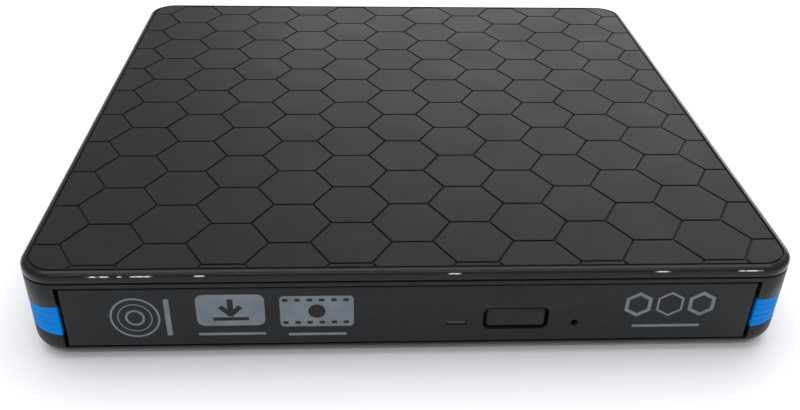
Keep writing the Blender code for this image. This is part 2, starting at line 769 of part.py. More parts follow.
def build_chassis(root):
    """The drive's lower pressing: a floor, two sides and a rear wall with the link's notch."""
    tools = bmesh.new()
    half = drive_half_width
    add_box(tools, (-half, shell_front, drive_low), (half, shell_rear, cover_low - GAP))
    chassis = to_object("drive_chassis", tools, "sheet_steel", root)
    hollow = bmesh.new()
    add_box(hollow, (-shell_inner, shell_front - SHELL, drive_low + SHELL),
            (shell_inner, shell_rear - SHELL, drive_high))
    carve(chassis, hollow)
    notch = bmesh.new()
    low = LINK_MIDDLE - LINK_WIDTH / 2 - GAP
    high = LINK_MIDDLE + LINK_WIDTH / 2 + GAP
    top = bridge_high + GAP + LINK_HEIGHT + GAP
    add_box(notch, (low, shell_rear - 2 * SHELL, bridge_high), (high, shell_rear + SHELL, top))
    carve(chassis, notch)


def build_drive_cover(root):
    """The drive's lid: a plate with a shallow pressed boss over the hub."""
    tools = bmesh.new()
    half = drive_half_width
    add_box(tools, (-half, shell_front, cover_low), (half, shell_rear, drive_high))
    cover = to_object("drive_cover", tools, "sheet_steel", root)
    boss = bmesh.new()
    radius = COVER_BOSS_RADIUS
    profile = [(radius, drive_high - SHELL / 2), (radius, drive_high + GAP),
               (radius - COVER_BOSS_SLOPE, drive_high + 2 * GAP)]
    add_turned(boss, profile, (0, disc_y), 24)
    weld(cover, boss)


def build_guides(root):
    """The two plastic channels on the chassis's sides, in which the rails run."""
    for name, side in (("rail_guide_left", -1), ("rail_guide_right", 1)):
        tools = bmesh.new()
        web = guide_outer - GUIDE_WEB
        outline = [(guide_inner, tray_low), (guide_outer, tray_low), (guide_outer, guide_high),
                   (guide_inner, guide_high), (guide_inner, guide_high - GUIDE_LIP),
                   (web, guide_high - GUIDE_LIP), (web, tray_low + GUIDE_LIP),
                   (guide_inner, tray_low + GUIDE_LIP)]
        if side < 0:
            outline = [(-x, z) for x, z in reversed(outline)]
        add_along_y(tools, outline, rail_front, rail_rear)
        to_object(name, tools, "white_plastic", root)


def build_main_board(root):
    """The drive's own board at the back of the chassis, with its chips and rear connector."""
    half = skirt_inner - MAIN_BOARD_INSET
    front = main_board_front
    rear = shell_rear - SHELL - MAIN_BOARD_END
    tools = bmesh.new()
    add_box(tools, (-half, front, board_low), (half, rear, board_high))
    to_object("main_board", tools, "board_green", root)

    add_chip("controller_chip", root, CONTROLLER_PLACE, (CONTROLLER_SIDE, CONTROLLER_SIDE, CONTROLLER_HEIGHT))
    add_chip("motor_driver_chip", root, DRIVER_PLACE, (DRIVER_WIDTH, DRIVER_DEPTH, DRIVER_HEIGHT))
    tools = bmesh.new()
    low = (LINK_MIDDLE - LINK_WIDTH / 2, drive_link_front, board_high + GAP)
    high_z = bridge_high + GAP + LINK_HEIGHT
    add_box(tools, low, (LINK_MIDDLE + LINK_WIDTH / 2, drive_link_front + DRIVE_LINK_DEPTH, high_z))
    to_object("drive_connector", tools, "chip_black", root)


def add_chip(name, root, place, size):
    """Adds a chip on the main board; its place is given from the middle of the board's free area."""
    x, y = place[0], (main_board_front + drive_link_front) / 2 + place[1]
    low = board_high + GAP
    tools = bmesh.new()
    add_box(tools, (x - size[0] / 2, y - size[1] / 2, low), (x + size[0] / 2, y + size[1] / 2, low + size[2]))
    to_object(name, tools, "chip_black", root)


def build_ejector(root):
    """The sprung plunger that starts the tray on its way out, held back by the shut tray."""
    x = skirt_inner - EJECTOR_INSET
    z = tray_low + EJECTOR_RISE
    tip = disc_y + EJECTOR_START
    tools = bmesh.new()
    add_rod_y(tools, PLUNGER_RADIUS, x, z, tip, tip + PLUNGER_LENGTH, 12)
    plunger = to_object("eject_plunger", tools, "white_plastic", root)
    head = bmesh.new()
    behind = tip + 0.6 * PLUNGER_HEAD_LENGTH
    add_rod_y(head, PLUNGER_HEAD_RADIUS, x, z, tip - 0.4 * PLUNGER_HEAD_LENGTH, behind, 12)
    weld(plunger, head)
    build_coil("eject_spring", root, (x, z), behind + 3 * GAP)


def build_coil(name, root, axis, start):
    """A coil spring along Y: a square wire swept along a helix."""
    wire = SPRING_WIRE
    steps = SPRING_TURNS * 12
    loops = []
    for i in range(steps + 1):
        angle = 2 * math.pi * SPRING_TURNS * i / steps
        y = start + SPRING_LENGTH * i / steps
        ring = []
        for out, along in ((-wire, -wire), (wire, -wire), (wire, wire), (-wire, wire)):
            reach = SPRING_RADIUS + out / 2
            ring.append((axis[0] + reach * math.cos(angle), y + along / 2,
                         axis[1] + reach * math.sin(angle)))
        loops.append(ring)
    tools = bmesh.new()
    add_stack(tools, loops)
    bmesh.ops.recalc_face_normals(tools, faces=tools.faces)
    to_object(name, tools, "bright_steel", root)


# ---------------------------------------------------------------- the tray

def turned_outline(outline):
    """Turns hub-centred (x, y) points by the sled's angle and moves them to the hub."""
    turn = Matrix.Rotation(math.radians(SLED_ANGLE), 2)
    return [tuple(turn @ Vector(point) + Vector((0, disc_y))) for point in outline]


def window_outline():
    """Returns the sled's window, hub-centred, before it is turned."""
    half = window_half_width
    low = -frame_end + FRAME_LIP
    return [(-half, low), (half, low), (half, -SPINDLE_RADIUS * 0.4), (-half, -SPINDLE_RADIUS * 0.4)]


def build_disc_tray(tray):
    """The tray: a deck with the disc's recess, side skirts with rail grooves and a front wall."""
    tools = bmesh.new()
    add_box(tools, (-tray_half_width, tray_front, flange_low), (tray_half_width, tray_rear, tray_high))
    body = to_object("disc_tray", tools, "tray_plastic", tray)
    skirt = bmesh.new()
    add_box(skirt, (-skirt_outer, tray_front, tray_low),
            (skirt_outer, tray_rear - 3 * GAP, flange_low + 2 * GAP))
    weld(body, skirt)

    hollow = bmesh.new()
    inside_front = tray_front + TRAY_FRONT_WALL
    add_box(hollow, (-skirt_inner, inside_front, tray_low - GAP),
            (skirt_inner, tray_rear + GAP, deck_low))
    carve(body, hollow)
    grooves = bmesh.new()
    for side in (-1, 1):
        ends = sorted((side * groove_floor, side * (skirt_outer + GAP)))
        add_box(grooves, (ends[0], tray_front + RAIL_FRONT - GAP, rail_low - GAP),
                (ends[1], tray_rear + GAP, rail_high + GAP))
    carve(body, grooves)
    recess = bmesh.new()
    add_column(recess, recess_radius, (0, disc_y), deck_high, tray_high + GAP, 64)
    carve(body, recess)
    window = bmesh.new()
    add_prism(window, turned_outline(window_outline()), deck_low - GAP, deck_high + 3 * GAP)
    carve(body, window)
    hub_hole = bmesh.new()
    add_column(hub_hole, SPINDLE_RADIUS + 2 * GAP, (0, disc_y), deck_low - 2 * GAP,
               deck_high + 2 * GAP, 32)
    carve(body, hub_hole)
    front_hole = bmesh.new()
    half_x = BUTTON_WIDTH / 2 + BUTTON_FLANGE + GAP
    half_z = BUTTON_HEIGHT / 2 + BUTTON_FLANGE + GAP
    add_box(front_hole, (BUTTON_MIDDLE - half_x, tray_front - GAP, control_z - half_z),
            (BUTTON_MIDDLE + half_x, inside_front + GAP / 2, control_z + half_z))
    reach = LAMP_WIDTH / 2 + GAP
    add_box(front_hole, (LAMP_MIDDLE - reach, tray_front - GAP, lamp_z - LAMP_HEIGHT / 2 - GAP),
            (LAMP_MIDDLE + reach, inside_front + GAP / 2, lamp_z + LAMP_HEIGHT / 2 + GAP))
    carve(body, front_hole)


def build_front_bezel(tray):
    """The tray's front: a plate with openings for the button, the lamp and the release hole."""
    half = opening_half_width - BEZEL_GAP
    low = opening_low + BEZEL_LOW_GAP
    high = opening_high - BEZEL_LOW_GAP
    edge = BEZEL_EDGE
    loops = []
    for inset, y in ((edge, case_front), (0.0, case_front + edge), (0.0, bezel_back)):
        loops.append([(-half + inset, y, low + inset), (-half + inset, y, high - inset),
                      (half - inset, y, high - inset), (half - inset, y, low + inset)])
    tools = bmesh.new()
    add_stack(tools, loops)
    bmesh.ops.recalc_face_normals(tools, faces=tools.faces)
    bezel = to_object("front_bezel", tools, "bezel_plastic", tray)

    holes = bmesh.new()
    front, back = case_front - BEZEL_THICKNESS, bezel_back + BEZEL_THICKNESS
    add_along_y(holes, button_outline(GAP), front, back)
    slot = (LAMP_WIDTH / 2, LAMP_HEIGHT / 2)
    add_box(holes, (LAMP_MIDDLE - slot[0], front, lamp_z - slot[1]),
            (LAMP_MIDDLE + slot[0], back, lamp_z + slot[1]))
    add_rod_y(holes, HOLE_RADIUS, HOLE_MIDDLE, hole_z, front, back, 20)
    carve(bezel, holes)


def button_outline(clearance):
    """Returns the eject button's outline in (x, z)."""
    points = rounded(BUTTON_WIDTH / 2 + clearance, BUTTON_HEIGHT / 2 + clearance,
                     BUTTON_CORNER + clearance, steps=4)
    return [(BUTTON_MIDDLE + x, control_z + z) for x, z in points]


def build_eject_button(tray):
    """The button: a cap in the bezel with a flange behind it and a peg for the switch."""
    middle = (BUTTON_MIDDLE, bezel_back, control_z)
    tools = bmesh.new()
    back = bezel_back + GAP
    add_along_y(tools, button_outline(0.0), case_front, back)
    button = to_object("eject_button", tools, "bezel_plastic", tray, middle)
    flange = bmesh.new()
    reach = BUTTON_FLANGE
    add_box(flange, (BUTTON_MIDDLE - BUTTON_WIDTH / 2 - reach, back,
                     control_z - BUTTON_HEIGHT / 2 - reach),
            (BUTTON_MIDDLE + BUTTON_WIDTH / 2 + reach, back + 2 * GAP,
             control_z + BUTTON_HEIGHT / 2 + reach))
    weld(button, flange)
    peg = bmesh.new()
    peg_high = control_z - PEG_HEIGHT / 2
    add_box(peg, (BUTTON_MIDDLE - PEG_WIDTH / 2, back + GAP, peg_high - PEG_HEIGHT),
            (BUTTON_MIDDLE + PEG_WIDTH / 2, back + 4 * GAP, peg_high))
    weld(button, peg)


def build_light_pipe(tray):
    """The clear bar that brings the lamp's light to the bezel."""
    tools = bmesh.new()
    half_x = LAMP_WIDTH / 2 - GAP / 2
    half_z = LAMP_HEIGHT / 2 - GAP / 2
    back = tray_front + TRAY_FRONT_WALL + LIGHT_PIPE_REACH
    add_box(tools, (LAMP_MIDDLE - half_x, case_front + GAP, lamp_z - half_z),
            (LAMP_MIDDLE + half_x, back, lamp_z + half_z))
    to_object("light_pipe", tools, "lamp_clear", tray)


def build_tray_board(tray):
    """The small board behind the bezel, with the switch that the button works."""
    front = tray_front + TRAY_FRONT_WALL + GAP
    tools = bmesh.new()
    low = (LAMP_MIDDLE - LAMP_WIDTH, front, tray_board_low)
    add_box(tools, low, (skirt_inner - TRAY_BOARD_INSET, front + TRAY_BOARD_DEPTH, tray_board_high))
    to_object("tray_board", tools, "board_green", tray)
    tools = bmesh.new()
    plunger_y = bezel_back + GAP + 4 * GAP + BUTTON_TRAVEL + GAP
    half = SWITCH_WIDTH / 2
    add_box(tools, (BUTTON_MIDDLE - half, plunger_y, control_z - SWITCH_DROP),
            (BUTTON_MIDDLE + half, plunger_y + SWITCH_DEPTH, tray_board_low - GAP))
    to_object("eject_switch", tools, "chip_black", tray)


def latch_place():
    """Returns the latch lever's pivot in (x, y)."""
    return skirt_inner - LATCH_INSET, tray_front + TRAY_FRONT_WALL + LATCH_SETBACK


def build_latch(tray, root):
    """The latch: a lever on its pivot, the solenoid that pulls it, and the chassis's pin."""
    x, y = latch_place()
    low = tray_low + LATCH_RISE
    high = low + LATCH_HEIGHT
    nose = x + LATCH_NOSE
    outline = [(nose, y + off) for off in LATCH_NOSE_SPAN]
    outline += [(x + across, y + along) for across, along in LATCH_LEVER]
    tools = bmesh.new()
    add_prism(tools, outline, low, high)
    lever = to_object("latch_lever", tools, "white_plastic", tray, (x, y, low))
    bore = bmesh.new()
    add_column(bore, LATCH_PIVOT_RADIUS + GAP, (x, y), low - GAP, high + GAP, 16)
    carve(lever, bore)
    tools = bmesh.new()
    add_column(tools, LATCH_PIVOT_RADIUS, (x, y), low, tray_board_low - GAP, 16)
    to_object("latch_pivot", tools, "bright_steel", tray)
    tools = bmesh.new()
    side = x - SOLENOID_START
    front = y + LATCH_LEVER[2][1]
    add_box(tools, (side - SOLENOID_LENGTH, front, low), (side, front + SOLENOID_WIDTH, high))
    to_object("latch_solenoid", tools, "bright_steel", tray)
    tools = bmesh.new()
    place = (nose + GAP + LATCH_PIN_RADIUS, y + sum(LATCH_NOSE_SPAN) / 2)
    add_column(tools, LATCH_PIN_RADIUS, place, drive_low + SHELL + GAP, high, 16)
    to_object("latch_pin", tools, "bright_steel", root)


def build_rails(tray):
    """The two telescopic rails, each half in its guide and half in the tray's groove."""
    for name, side in (("rail_left", -1), ("rail_right", 1)):
        tools = bmesh.new()
        ends = sorted((side * rail_inner, side * rail_outer))
        add_box(tools, (ends[0], rail_front, rail_low), (ends[1], rail_rear, rail_high))
        to_object(name, tools, "bright_steel", tray)


# ---------------------------------------------------------------- the disc's mechanism

def build_traverse_frame(hub):
    """The plate under the deck that carries the motor, the rods and the sled's screw."""
    middle_y = (FRAME_BEHIND - frame_end) / 2
    half_y = (FRAME_BEHIND + frame_end) / 2
    tools = bmesh.new()
    outline = rounded(FRAME_HALF_WIDTH, half_y, FRAME_CORNER, (0, middle_y), 5)
    add_prism(tools, outline, frame_low, frame_high)
    frame = to_object("traverse_frame", tools, "sheet_steel", hub)
    ends = bmesh.new()
    for x in (-ROD_SPACING / 2, ROD_SPACING / 2):
        for start in (-frame_end + GAP, -SPINDLE_RADIUS - ROD_END_THICKNESS):
            low = (x - ROD_END_HALF_WIDTH, start, rod_z - ROD_END_DROP)
            add_box(ends, low, (x + ROD_END_HALF_WIDTH, start + ROD_END_THICKNESS,
                                frame_low + FRAME_THICKNESS / 2))
    weld(frame, ends)
    window = bmesh.new()
    half = window_half_width
    add_box(window, (-half, -frame_end + FRAME_LIP, frame_low - GAP),
            (half, -SPINDLE_RADIUS - 1.5 * ROD_END_THICKNESS, frame_high + GAP))
    radius = SPINDLE_RADIUS - HUB_OPENING_STEP
    add_column(window, radius, (0, 0), frame_low - GAP, frame_high + GAP, 24)
    carve(frame, window)
    seats = bmesh.new()
    for x in (-ROD_SPACING / 2, ROD_SPACING / 2):
        add_rod_y(seats, ROD_RADIUS + GAP / 2, x, rod_z, -frame_end - GAP, -SPINDLE_RADIUS + GAP)
    reach = STEPPER_RADIUS + GAP
    add_box(seats, (SCREW_AXIS_X - reach, -STEPPER_LENGTH - GAP, screw_z - reach),
            (SCREW_AXIS_X + reach, GAP, frame_high + GAP))
    carve(frame, seats)


def build_spindle(hub):
    """The spindle motor, its turning hub with the disc's seat, and the rubber ring on it."""
    tools = bmesh.new()
    stator_high = frame_low - GAP
    add_column(tools, SPINDLE_RADIUS - MOTOR_STEP, (0, 0), tray_low + GAP, stator_high, 32)
    to_object("spindle_motor", tools, "sheet_steel", hub)

    seat = deck_high + HUB_LIFT
    top = seat + HUB_HEIGHT
    shaft = SPINDLE_RADIUS - SHAFT_STEP
    profile = [(shaft, stator_high + GAP), (shaft, frame_high + GAP), (SPINDLE_RADIUS, frame_high + GAP),
               (SPINDLE_RADIUS, seat), (HUB_RADIUS, seat), (HUB_RADIUS, top - HUB_CHAMFER),
               (HUB_RADIUS - HUB_CHAMFER, top), (HUB_DIMPLE_RADIUS, top),
               (HUB_DIMPLE_RADIUS, top - HUB_DIMPLE_DEPTH)]
    tools = bmesh.new()
    add_turned(tools, profile, (0, 0), 32)
    to_object("spindle_hub", tools, "white_plastic", hub)

    ring_low = seat + GAP / 2
    inner, outer = HUB_RADIUS + PAD_START, SPINDLE_RADIUS - GAP
    tools = bmesh.new()
    add_column(tools, outer, (0, 0), ring_low, ring_low + PAD_HEIGHT, 32)
    ring = to_object("turntable_pad", tools, "rubber", hub)
    bore = bmesh.new()
    add_column(bore, inner, (0, 0), ring_low - GAP, ring_low + 2 * PAD_HEIGHT, 32)
    carve(ring, bore)


def build_sled(hub):
    """The laser sled on its two rods, with the lens holder and the lens."""
    middle = -SLED_INNER + LENS_OFFSET
    front, rear = middle - SLED_LENGTH / 2, middle + SLED_LENGTH / 2
    half = SLED_WIDTH / 2
    low = tray_low + SLED_LIFT
    high = deck_low + SLED_RISE
    tools = bmesh.new()
    add_box(tools, (-half, front, low), (half, rear, high))
    sled = to_object("laser_sled", tools, "chip_black", hub, (0, -SLED_INNER, low))
    lugs = bmesh.new()
    lug_high = frame_low - GAP
    tooth = SCREW_AXIS_X - LEAD_SCREW_RADIUS - GAP
    reach = ROD_SPACING / 2 + ROD_RADIUS + LUG_WALL
    inset = LUG_INSET
    add_box(lugs, (half - inset, front + inset, low + GAP), (tooth, rear - inset, lug_high))
    add_box(lugs, (-reach, middle - LUG_HALF_LENGTH, low + GAP),
            (-half + inset, middle + LUG_HALF_LENGTH, lug_high))
    weld(sled, lugs)
    bores = bmesh.new()
    for x in (-ROD_SPACING / 2, ROD_SPACING / 2):
        add_rod_y(bores, ROD_RADIUS + GAP, x, rod_z, front - GAP, rear + GAP)
    carve(sled, bores)
    tools = bmesh.new()
    across = HOLDER_WIDTH / 2
    lens_low = high + GAP
    add_box(tools, (-across, -SLED_INNER - HOLDER_SPAN[0], lens_low),
            (across, -SLED_INNER + HOLDER_SPAN[1], lens_low + HOLDER_HEIGHT))
    holder = to_object("lens_holder", tools, "white_plastic", hub)
    seat = bmesh.new()
    add_column(seat, LENS_RADIUS + GAP, (0, -SLED_INNER), high, lens_low + 2 * HOLDER_HEIGHT)
    carve(holder, seat)
    tools = bmesh.new()
    profile = [(LENS_RADIUS * share, lens_low + up) for share, up in LENS_PROFILE]
    add_turned(tools, profile, (0, -SLED_INNER), 20)
    to_object("objective_lens", tools, "lens_glass", hub)


def build_sled_drive(hub):
    """The two rods, the lead screw with its thread, and the motor that turns it."""
    rod_front, rod_rear = -frame_end + 2 * GAP, -SPINDLE_RADIUS - GAP
    for name, side in (("guide_rod_left", -1), ("guide_rod_right", 1)):
        tools = bmesh.new()
        add_rod_y(tools, ROD_RADIUS, side * ROD_SPACING / 2, rod_z, rod_front, rod_rear, 12)
        to_object(name, tools, "bright_steel", hub)

    start = -frame_end + LEAD_SCREW_END
    end = -STEPPER_LENGTH - GAP
    pitches = int((end - start) / LEAD_SCREW_PITCH)
    sides = LEAD_SCREW_SIDES
    loops = []
    for i in range(pitches * sides + 1):
        loop = []
        y = start + (end - start) * i / (pitches * sides)
        for k in range(sides):
            turn = 2 * math.pi * k / sides
            depth = LEAD_SCREW_GROOVE * (0.5 + 0.5 * math.cos(turn - 2 * math.pi * i / sides))
            reach = LEAD_SCREW_RADIUS - depth
            loop.append((SCREW_AXIS_X + reach * math.cos(turn), y, screw_z + reach * math.sin(turn)))
        loops.append(loop)
    tools = bmesh.new()
    add_stack(tools, loops)
    bmesh.ops.recalc_face_normals(tools, faces=tools.faces)
    to_object("lead_screw", tools, "bright_steel", hub, (SCREW_AXIS_X, start, screw_z))

    tools = bmesh.new()
    add_rod_y(tools, STEPPER_RADIUS, SCREW_AXIS_X, screw_z, -STEPPER_LENGTH, 0, 20)
    to_object("stepper_motor", tools, "sheet_steel", hub)


def build_dampers(hub):
    """Three rubber dampers that the traverse frame hangs on."""
    x = FRAME_HALF_WIDTH - DAMPER_RADIUS - DAMPER_EDGE
    y = FRAME_BEHIND - DAMPER_SETBACK
    places = ((-x, y), (x, y), (-x, -frame_end + DAMPER_OUTER_SETBACK))
    for number, place in enumerate(places, start=1):
        tools = bmesh.new()
        add_column(tools, DAMPER_RADIUS, place, tray_low + DAMPER_LIFT, frame_low - GAP, 16)
        to_object(f"damper_{number}", tools, "rubber", hub)


def build_flex_cable(tray):
    """The flat cable between the main board and the tray, folded once under the deck."""
    x_low = (FRAME_HALF_WIDTH + FRAME_BEHIND) * math.cos(math.radians(SLED_ANGLE)) + FLEX_SPACE
    x_high = x_low + FLEX_WIDTH
    low = drive_low + SHELL + GAP
    high = deck_low - GAP
    radius = (high - low) / 2
    fold = disc_y - FLEX_FOLD
    middle_z = (low + high) / 2
    half_thick = FLEX_THICKNESS / 2
    path = [(main_board_front - GAP, low + half_thick)]
    for i in range(9):
        angle = math.radians(-90 - 180 * i / 8)
        reach = radius - half_thick
        path.append((fold + reach * math.cos(angle), middle_z + reach * math.sin(angle)))
    path.append((main_board_front - FLEX_TAIL, high - half_thick))
    outline = thick_line(path, half_thick)
    loops = [[(x, y, z) for y, z in outline] for x in (x_low, x_high)]
    tools = bmesh.new()
    add_stack(tools, loops)
    bmesh.ops.recalc_face_normals(tools, faces=tools.faces)
    to_object("flex_cable", tools, "flex_orange", tray)


def thick_line(path, half):
    """Returns the closed outline of a line of (y, z) points with a thickness of twice half."""
    left, right = [], []
    for i, here in enumerate(path):
        before = path[max(i - 1, 0)]
        after = path[min(i + 1, len(path) - 1)]
        run = Vector((after[0] - before[0], after[1] - before[1])).normalized()
        left.append((here[0] - run.y * half, here[1] + run.x * half))
        right.append((here[0] + run.y * half, here[1] - run.x * half))
    return left + right[::-1]


# ---------------------------------------------------------------- the whole

def main():
    clear_scene()
    root = empty("optical_drive", (0, 0, 0))
    build_bottom_case(root)
    build_top_cover(root)
    build_corner_inserts(root)
    build_case_screws(root)
    build_feet(root)
    build_bridge(root)
    build_chassis(root)
    build_drive_cover(root)
    build_guides(root)
    build_main_board(root)
    build_ejector(root)

    tray = empty("tray_slide_axis", (0, 0, 0), parent=root)
    build_rails(root)
    build_disc_tray(tray)
    build_front_bezel(tray)
    build_eject_button(tray)
    build_light_pipe(tray)
    build_tray_board(tray)
    build_latch(tray, root)
    build_flex_cable(tray)

    hub = empty("spindle_axis", (0, disc_y, 0), SLED_ANGLE, tray)
    build_traverse_frame(hub)
    build_spindle(hub)
    build_sled(hub)
    build_sled_drive(hub)
    build_dampers(hub)


main()
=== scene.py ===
"""A slim external optical drive, dressed round its CAD frame.

Each sub-assembly is a class that holds its sizes, models its pieces and gives them their finish.
Sizes are in metres. The front faces -Y, +Z is up and the feet stand on z = 0.
"""

import logging
import math
from dataclasses import dataclass
from enum import Enum
from typing import Callable, Iterable, Optional, Sequence

import bmesh
import bpy
from mathutils import Euler, Matrix, Vector


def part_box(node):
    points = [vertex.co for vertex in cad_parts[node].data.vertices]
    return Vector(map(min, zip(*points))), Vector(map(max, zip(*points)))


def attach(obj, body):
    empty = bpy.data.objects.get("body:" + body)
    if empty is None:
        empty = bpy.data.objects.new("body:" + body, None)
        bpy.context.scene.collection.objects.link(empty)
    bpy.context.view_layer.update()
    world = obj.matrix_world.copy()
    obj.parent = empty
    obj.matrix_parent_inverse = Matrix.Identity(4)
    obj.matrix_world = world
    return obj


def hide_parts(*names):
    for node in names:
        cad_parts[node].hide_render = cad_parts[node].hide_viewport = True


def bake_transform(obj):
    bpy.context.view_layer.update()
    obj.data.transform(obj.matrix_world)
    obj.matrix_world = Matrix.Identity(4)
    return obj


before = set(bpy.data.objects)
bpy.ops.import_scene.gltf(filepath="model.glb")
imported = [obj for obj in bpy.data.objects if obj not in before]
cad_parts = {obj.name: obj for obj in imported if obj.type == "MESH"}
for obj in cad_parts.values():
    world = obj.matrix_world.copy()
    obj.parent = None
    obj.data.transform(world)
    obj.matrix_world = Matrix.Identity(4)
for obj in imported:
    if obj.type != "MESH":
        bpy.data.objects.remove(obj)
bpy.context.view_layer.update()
LOG = logging.getLogger("drive")

Point = tuple[float, float, float]
Colour = tuple[float, float, float]
Obj = bpy.types.Object
Tree = bpy.types.NodeTree
Node = bpy.types.Node
Socket = bpy.types.NodeSocket

NEAR = 1e-5


# ------------------------------------------------------------------ finishes

class Grain(Enum):
    """How the fine texture of a surface is drawn out."""

    EVEN = (1.0, 1.0, 1.0)
    ALONG_X = (0.03, 1.0, 1.0)
    ALONG_Y = (1.0, 0.03, 1.0)


@dataclass(frozen=True)
class Finish:
    """A moulded, pressed or painted surface.

    The colour drifts between two tones, the roughness between two levels, and the grain stands
    up by its depth. Scuffs are sparse paler rubs, and wear is the same tone along the edges.
    """

    name: str
    slot: str
    tone: Colour
    drift: Colour
    roughness: tuple[float, float]
    metallic: float = 0.0
    specular: float = 0.5
    grain: Grain = Grain.EVEN
    grain_size: float = 0.0005
    grain_depth: float = 0.00001
    mottle_size: float = 0.015
    scuff: float = 0.015
    wear: float = 0.05
    scuff_tone: Colour = (0.25, 0.25, 0.26)
    coat: float = 0.0
    clear: float = 0.0

    def material(self) -> bpy.types.Material:
        """Makes the finish's material, or finds it.

        Returns:
            The node material of this finish.
        """
        label = f"{self.name}_finish"
        found = bpy.data.materials.get(label)
        if found:
            return found
        made = bpy.data.materials.new(label)
        made.use_nodes = True
        nodes = made.node_tree.nodes
        shader = nodes["Principled BSDF"]
        shader.inputs["Metallic"].default_value = self.metallic
        shader.inputs["Specular IOR Level"].default_value = self.specular
        shader.inputs["Coat Weight"].default_value = self.coat
        shader.inputs["Coat Roughness"].default_value = 0.08
        shader.inputs["Transmission Weight"].default_value = self.clear
        place = nodes.new("ShaderNodeTexCoord").outputs["Object"]
        self.paint(made.node_tree, shader, place)
        return made

    def paint(self, tree: Tree, shader: Node, place: Socket) -> None:
        """Wires the finish's colour, gloss and relief.

        Args:
            tree: the material's nodes.
            shader: its surface shader.
            place: the surface's own coordinates.
        """
        colour = self.scuffed(tree, place, self.mottled(tree, place))
        tree.links.new(colour, shader.inputs["Base Color"])
        self.gloss(tree, shader, place)
        self.relief(tree, shader, place)

    def mottled(self, tree: Tree, place: Socket) -> Socket:
        """Lets the colour drift between the finish's two tones.

        Args:
            tree: the material's nodes.
            place: the surface's own coordinates.

        Returns:
            The socket that carries the colour.
        """
        noise = noise_of(tree, place, self.mottle_size, 4.0)
        return blend_of(tree, noise, self.tone, self.drift)

    def scuffed(self, tree: Tree, place: Socket,
                colour: Socket) -> Socket:
        """Lays sparse paler rubs over a colour, and more of them along the edges.

        Args:
            tree: the material's nodes.
            place: the surface's own coordinates.
            colour: the colour beneath.

        Returns:
            The socket that carries the rubbed colour.
        """
        noise = noise_of(tree, place, 0.0024, 6.0)
        rub = span_of(tree, noise, (0.66, 0.80), (0.0, self.scuff))
        pointed = tree.nodes.new("ShaderNodeNewGeometry").outputs["Pointiness"]
        edge = span_of(tree, pointed, (0.53, 0.62), (0.0, self.wear))
        worn = sum_of(tree, "MULTIPLY", edge, span_of(tree, noise, (0.40, 0.60), (0.0, 1.0)))
        return cover_of(tree, sum_of(tree, "MAXIMUM", rub, worn), colour, self.scuff_tone)

    def gloss(self, tree: Tree, shader: Node, place: Socket) -> None:
        """Varies the roughness between the finish's two levels.

        Args:
            tree: the material's nodes.
            shader: its surface shader.
            place: the surface's own coordinates.
        """
        noise = noise_of(tree, place, self.mottle_size * 0.4, 3.0)
        tree.links.new(span_of(tree, noise, (0.35, 0.65), self.roughness),
                       shader.inputs["Roughness"])

    def relief(self, tree: Tree, shader: Node, place: Socket) -> None:
        """Raises the grain.

        Args:
            tree: the material's nodes.
            shader: its surface shader.
            place: the surface's own coordinates.
        """
        mapping = tree.nodes.new("ShaderNodeMapping")
        mapping.inputs["Scale"].default_value = self.grain.value
        tree.links.new(place, mapping.inputs["Vector"])
        noise = noise_of(tree, mapping.outputs["Vector"], self.grain_size, 2.0)
        bump = tree.nodes.new("ShaderNodeBump")
        bump.inputs["Strength"].default_value = 0.6
        bump.inputs["Distance"].default_value = self.grain_depth
        tree.links.new(noise, bump.inputs["Height"])
        tree.links.new(bump.outputs["Normal"], shader.inputs["Normal"])


@dataclass(frozen=True)
class BoardFinish(Finish):
    """A circuit board's lacquer, with paler tracks and tinned pads under it."""

    track: Colour = (0.03, 0.22, 0.09)
    pad: Colour = (0.75, 0.70, 0.55)
    pitch: float = 0.0022

    def mottled(self, tree: Tree, place: Socket) -> Socket:
        """Draws tracks and pads over the lacquer.

        Args:
            tree: the material's nodes.
            place: the surface's own coordinates.

        Returns:
            The socket that carries the colour.
        """
        base = super().mottled(tree, place)
        cells = tree.nodes.new("ShaderNodeTexVoronoi")
        cells.distance = "MANHATTAN"
        cells.inputs["Scale"].default_value = 1.0 / self.pitch
        tree.links.new(place, cells.inputs["Vector"])
        edges = tree.nodes.new("ShaderNodeTexVoronoi")
        edges.feature = "DISTANCE_TO_EDGE"
        edges.inputs["Scale"].default_value = 0.5 / self.pitch
        tree.links.new(place, edges.inputs["Vector"])
        lines = span_of(tree, edges.outputs["Distance"], (0.03, 0.07), (1.0, 0.0))
        dots = span_of(tree, cells.outputs["Distance"], (0.16, 0.20), (1.0, 0.0))
        for mask, tone in ((lines, self.track), (dots, self.pad)):
            base = cover_of(tree, mask, base, tone)
        return base


